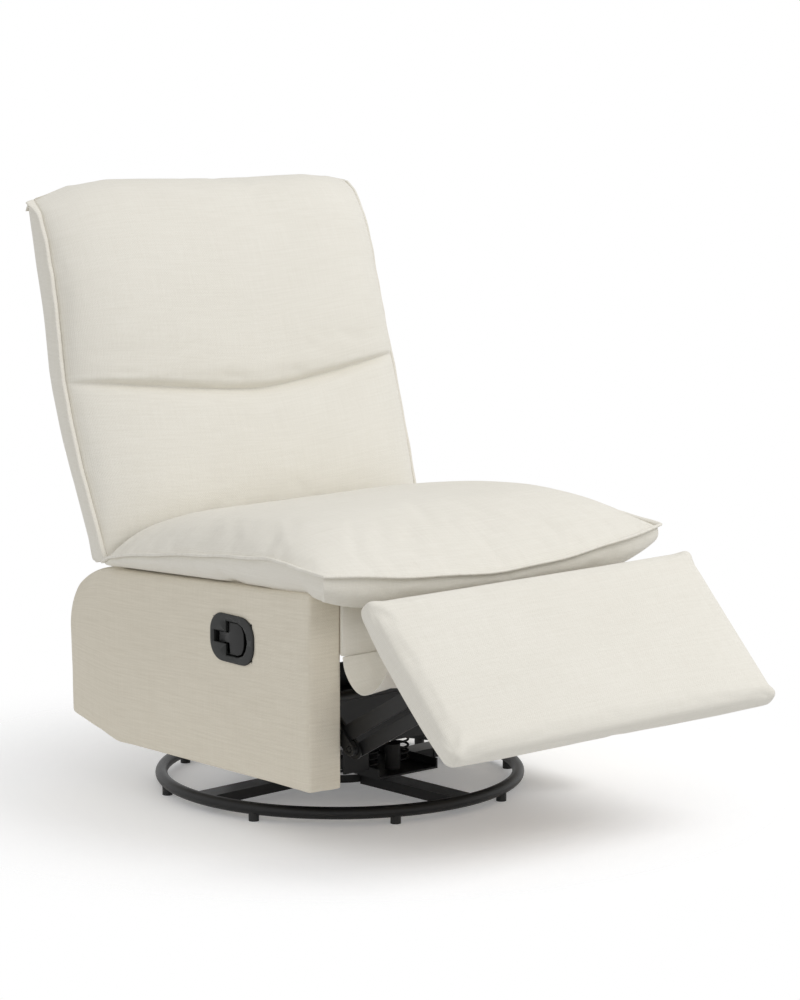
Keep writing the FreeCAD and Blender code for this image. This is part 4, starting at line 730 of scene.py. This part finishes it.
REAR_TOP_START, REAR_TOP_SPREAD = 0.500, 0.052


def curve(at, places, values):
    """A smooth line through values at uneven places."""
    slopes = np.gradient(values, places)
    left = min(max(np.searchsorted(places, at) - 1, 0), len(places) - 2)
    gap = places[left + 1] - places[left]
    x = (at - places[left]) / gap
    ends = (1 + 2 * x) * (1 - x) ** 2 * values[left] + x * x * (3 - 2 * x) * values[left + 1]
    return ends + gap * x * (1 - x) * ((1 - x) * slopes[left] - x * slopes[left + 1])


def back_front(s, t):
    """The cover's front: s runs across from -1 to 1, and t up it from 0 and over the top to 1."""
    full = max(0.0, 1 - abs(s) ** 4.5) ** 0.6
    seam_up = 0.219 + 0.041 * (abs(s - 0.05) / 1.02) ** 1.3
    top_up = np.interp(0.325 * s, TOP_X, TOP_UP)
    if t <= LOWER_ROWS:
        share = t / LOWER_ROWS
        up = -0.016 + share * (seam_up + 0.016)
        swell = curve(share, LOWER_SHARE, LOWER_SWELL)
    else:
        step = (t - LOWER_ROWS) / (1 - LOWER_ROWS)
        up = seam_up + curve(step, UPPER_STEP, UPPER_SHARE) * (top_up - seam_up)
        swell = curve(step, UPPER_STEP, UPPER_SWELL)
    seam = np.interp(up, SEAM_UP, SEAM_FORWARD)
    if t > LOWER_ROWS and step > 0.92:
        seam = -0.016 - (step - 0.92) / 0.08 * 0.032
    half = np.interp(up, HALF_UP, HALF_X)
    return on_back(half * s, up, seam + full * (swell - BACK_SPARE - seam))


def onto_back(points):
    """Spread a sheet's points over the back, closer together at its sides."""
    for v in points:
        v[across] = eased(v[across])
        v[along] = (v[along] + 1) / 2


BACK_COLUMNS, BACK_ROWS, BACK_BOXING_ROWS = 84, 125, 4
bm, across, along = flat_patch(BACK_COLUMNS, BACK_ROWS)
onto_back(bm.verts)
for v in bm.verts:
    v.co = (0.32 * v[across], 0.75 * v[along], 0.0)
weave = bm.loops.layers.uv.new("weave")
for face in bm.faces:
    for loop in face.loops:
        loop[weave].uv = loop.vert.co.xy
for v in bm.verts:
    v.co = back_front(v[across], v[along])
front_count = len(bm.verts)
front_faces = set(bm.faces)


def back_boxing(v, depth):
    """The side strip behind the seams, and the turned-in lower and rear upper edges."""
    edge = back_front(v[across], v[along])
    up = (edge.y - BACK_FOOT[0]) * math.sin(LEAN) + (edge.z - BACK_FOOT[1]) * math.cos(LEAN)
    rear_up = min(up, REAR_TOP_START + REAR_TOP_SPREAD * v[along])
    rear = on_back(edge.x * 0.985, rear_up, np.interp(up, REAR_UP, REAR_FORWARD))
    out = 0.004 * math.sin(math.pi * depth) * v[across] ** 9
    return edge.lerp(rear, depth) + Vector((out, 0.0, 0.0))


for row in range(BACK_BOXING_ROWS):
    for v in grow_edge(bm):
        v.co = back_boxing(v, (row + 1) / BACK_BOXING_ROWS)
rear_side = add_patch(bm, BACK_COLUMNS, BACK_ROWS, across, along)
onto_back(rear_side)
for v in rear_side:
    v.co = back_boxing(v, 1.0)
bmesh.ops.remove_doubles(bm, verts=bm.verts, dist=1e-5)
for face in bm.faces:
    if face not in front_faces:
        for loop in face.loops:
            loop[weave].uv = (loop.vert.co.y, loop.vert.co.z)
bmesh.ops.recalc_face_normals(bm, faces=bm.faces)
if bm.calc_volume(signed=True) < 0:
    bmesh.ops.reverse_faces(bm, faces=bm.faces)
bm.verts.index_update()
back = new_piece("back_pillows", bm, linen)
seam_row = int(round(LOWER_ROWS * BACK_ROWS))
held = []
for v in back.data.vertices:
    column, row = v.index % (BACK_COLUMNS + 1), v.index // (BACK_COLUMNS + 1)
    if v.index >= front_count or column in (0, BACK_COLUMNS) or row in (0, seam_row, BACK_ROWS):
        held.append(v.index)
settle(back, held, 0.8, slack=0.001, cap=0.003, stiff=25.0)
smooth(back)
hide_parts("back_pad_lower", "back_pad_upper", "back_boxing")
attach(back, "backrest")

bm, across, along = flat_patch(BACK_COLUMNS, BACK_ROWS)
inner = [v for v in bm.verts if abs(v[across]) < 0.999 or v[along] > 0.90]
bmesh.ops.delete(bm, geom=inner, context="VERTS")
for v in bm.verts:
    v[along] = (v[along] + 1) / 2
    v.co = back_front(v[across], v[along])


def off_back(v):
    ear = 0.018 * max(0.0, (v[along] - 0.84) / 0.11) ** 2 if v[across] < 0 else 0.0
    wave = 0.0008 * math.sin(71.0 * v[along]) + 0.0006 * math.sin(31.0 * v[along])
    way = Vector((v[across], -0.45, -0.1)).normalized()
    lip = 1.4 * FLANGE if v[across] < 0 else 0.7 * FLANGE
    return way * (lip + ear) + Vector((0.0, wave, 0.0))


back_flange = flange_piece("back_flange", bm, bm.edges[:], off_back)
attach(back_flange, "backrest")


# Outside back. A plain panel of the cover cloth over thin wadding, hung from the top rail and tacked
# at its edges, with a narrow tail that runs down between the side panels.
def back_panel(name, half, middle_up, edge, cuts, fullness):
    bm = soft_block(half, edge, cuts)
    bm.verts.index_update()
    tacked = []
    for v in bm.verts:
        full = (1 - (v.co.x / half[0]) ** 4) * (1 - (v.co.z / half[2]) ** 6)
        if v.co.y < 0 or full < 0.3:
            tacked.append(v.index)
        depth = 0.0465 + v.co.y + (fullness * full if v.co.y > 0 else 0.0)
        v.co = on_back(v.co.x, middle_up + v.co.z, -depth)
    panel = new_piece(name, bm, linen)
    settle(panel, tacked, 0.3, slack=0.001, cap=0.002)
    smooth(panel)
    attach(panel, "backrest")
    return panel


outside_back = back_panel("outside_back_cloth", (0.307, 0.0045, 0.279), 0.266, 0.004, (40, 3, 36), 0.006)
back_panel("back_tail_cloth", (0.246, 0.0035, 0.062), -0.058, 0.0032, (30, 3, 10), 0.002)
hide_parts("outside_back")


# Footrest. A board with a slab of foam on its front, in a cover with soft rounded edges and its side
# seams turned to the back.
REST_LEAN = math.radians(45.0)
REST_EDGE = (-0.402, 0.353)
REST_HALF = (0.3215, 0.1400, 0.030)
REST_WIDEST = 0.0368
REST_FRONT, REST_BACK = 0.029, 0.036
REST_CROWN = 0.004
REST_ROUND = 0.013
DRAWN_ACROSS, DRAWN_ALONG = 0.12, 0.28


def on_footrest(x, along, forward):
    """A place on the leaned footrest: along it from its upper edge, and forward of its board's back."""
    y = REST_EDGE[0] - along * math.sin(REST_LEAN) - forward * math.cos(REST_LEAN)
    z = REST_EDGE[1] - along * math.cos(REST_LEAN) + forward * math.sin(REST_LEAN)
    return Vector((x, y, z))


bm = soft_block(REST_HALF, REST_ROUND, (64, 32, 10))
for v in bm.verts:
    x_share, y_share, z_share = (part / half for part, half in zip(v.co, REST_HALF))
    full = (1 - x_share ** 4) * (1 - y_share ** 4)
    drawn_in = max(0.0, -z_share)
    front = REST_FRONT * z_share + REST_CROWN * full
    back = REST_BACK * z_share
    v.co = on_footrest(v.co.x * (1 - DRAWN_ACROSS * drawn_in),
                       REST_HALF[1] - v.co.y * (1 - DRAWN_ALONG * drawn_in),
                       REST_WIDEST + (front if z_share > 0 else back))
bmesh.ops.recalc_face_normals(bm, faces=bm.faces)
footrest = new_piece("footrest_pillow", bm, linen)
back_side = near_edge(footrest, lambda co: (REST_EDGE[0] - co.y) + (co.z - REST_EDGE[1]) < 0.012)
settle(footrest, back_side, 1.2, slack=0.002, cap=0.004)
smooth(footrest)
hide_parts("footrest_pad")
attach(footrest, "footrest")


# Release handle. A moulded cup with a face plate pressed into the right panel, and a T-shaped lever in
# it with a hollow ahead of the paddle for the fingertips.
handle_black = speckled("handle_black", (0.012, 0.0125, 0.012, 1), (0.022, 0.023, 0.022, 1),
                        rough=0.5, grain=1100.0, depth=0.00007)
lever_black = speckled("lever_black", (0.004, 0.004, 0.004, 1), (0.009, 0.009, 0.009, 1),
                       rough=0.4, grain=1100.0, depth=0.00005)
coat(handle_black, "handle_bezel")
HANDLE_Y = -0.140
HANDLE_Z = 0.292


def outline_block(points, near, far):
    """A flat outline in the panel's plane, thickened across it."""
    bm = bmesh.new()
    corners = [bm.verts.new((near, y, HANDLE_Z + z)) for y, z in points]
    face = bmesh.ops.contextual_create(bm, geom=corners)["faces"][0]
    grown = bmesh.ops.extrude_face_region(bm, geom=[face])["geom"]
    moved = [g for g in grown if isinstance(g, bmesh.types.BMVert)]
    bmesh.ops.translate(bm, vec=(far - near, 0.0, 0.0), verts=moved)
    bmesh.ops.recalc_face_normals(bm, faces=bm.faces)
    return bm


def both_halves(upper):
    """An outline's lower half from its upper half."""
    return upper + [(y, -z) for y, z in reversed(upper) if abs(z) > 1e-6]


def round_edges(bm, width, segments, edges):
    bmesh.ops.bevel(bm, geom=edges, offset=width, segments=segments, profile=0.5, affect="EDGES",
                    material=-1)


PLATE_LENGTH, PLATE_HEIGHT = 0.052, 0.0365
PLATE_BACK, PLATE_FACE = -0.3168, -0.3222
plate_corners = [(HANDLE_Y - PLATE_LENGTH, PLATE_HEIGHT), (HANDLE_Y + PLATE_LENGTH, PLATE_HEIGHT)]
bm = outline_block(both_halves(plate_corners), PLATE_BACK, PLATE_FACE)
round_edges(bm, 0.029, 10, [e for e in bm.edges if abs(e.verts[0].co.x - e.verts[1].co.x) > 0.001])
round_edges(bm, 0.0018, 3, [e for e in bm.edges if all(v.co.x < PLATE_FACE + 0.0002 for v in e.verts)])
face_plate = new_piece("handle_face_plate", bm, handle_black)
well = outline_block(both_halves([
    (-0.0985, 0.0092), (-0.1275, 0.0092), (-0.1275, 0.0262), (-0.156, 0.0262), (-0.168, 0.0215),
    (-0.175, 0.0125), (-0.1784, 0.0)]), -0.310, -0.330)
cut_away(face_plate, new_piece("handle_well", well))
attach(face_plate, "seat")

LEVER_BACK, LEVER_FACE = -0.3155, -0.3192
STEM_HALF = 0.0078
STEM_END = -0.1345
STEM_DEPTH = 0.0135
bm = outline_block(both_halves([
    (-0.1080, STEM_HALF), (-0.1310, STEM_HALF), (-0.1310, 0.0245), (-0.152, 0.0245), (-0.161, 0.0205),
    (-0.1655, 0.0115), (-0.1665, 0.0)]), LEVER_BACK, LEVER_FACE)
for place, across in (((0, STEM_END, 0), (0, 1, 0)), ((0, 0, HANDLE_Z + STEM_HALF), (0, 0, 1)),
                      ((0, 0, HANDLE_Z - STEM_HALF), (0, 0, 1))):
    parts = bm.verts[:] + bm.edges[:] + bm.faces[:]
    bmesh.ops.bisect_plane(bm, geom=parts, plane_co=place, plane_no=across)
stem = []
for face in bm.faces:
    middle = face.calc_center_median()
    if middle.x > LEVER_BACK - 1e-5 and middle.y > STEM_END and abs(middle.z - HANDLE_Z) < STEM_HALF:
        stem.append(face)
deep = bmesh.ops.extrude_face_region(bm, geom=stem)["geom"]
bmesh.ops.delete(bm, geom=[face for face in stem if face.is_valid], context="FACES_ONLY")
moved = [g for g in deep if isinstance(g, bmesh.types.BMVert)]
bmesh.ops.translate(bm, vec=(STEM_DEPTH, 0.0, 0.0), verts=moved)
bmesh.ops.recalc_face_normals(bm, faces=bm.faces)
round_edges(bm, 0.0011, 3, [e for e in bm.edges if e.calc_face_angle(0.0) > 0.3])
bmesh.ops.dissolve_degenerate(bm, dist=0.00002, edges=bm.edges)
lever = new_piece("handle_t_lever", bm, lever_black)
smooth(lever, 0)
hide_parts("handle_lever")
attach(lever, "handle")
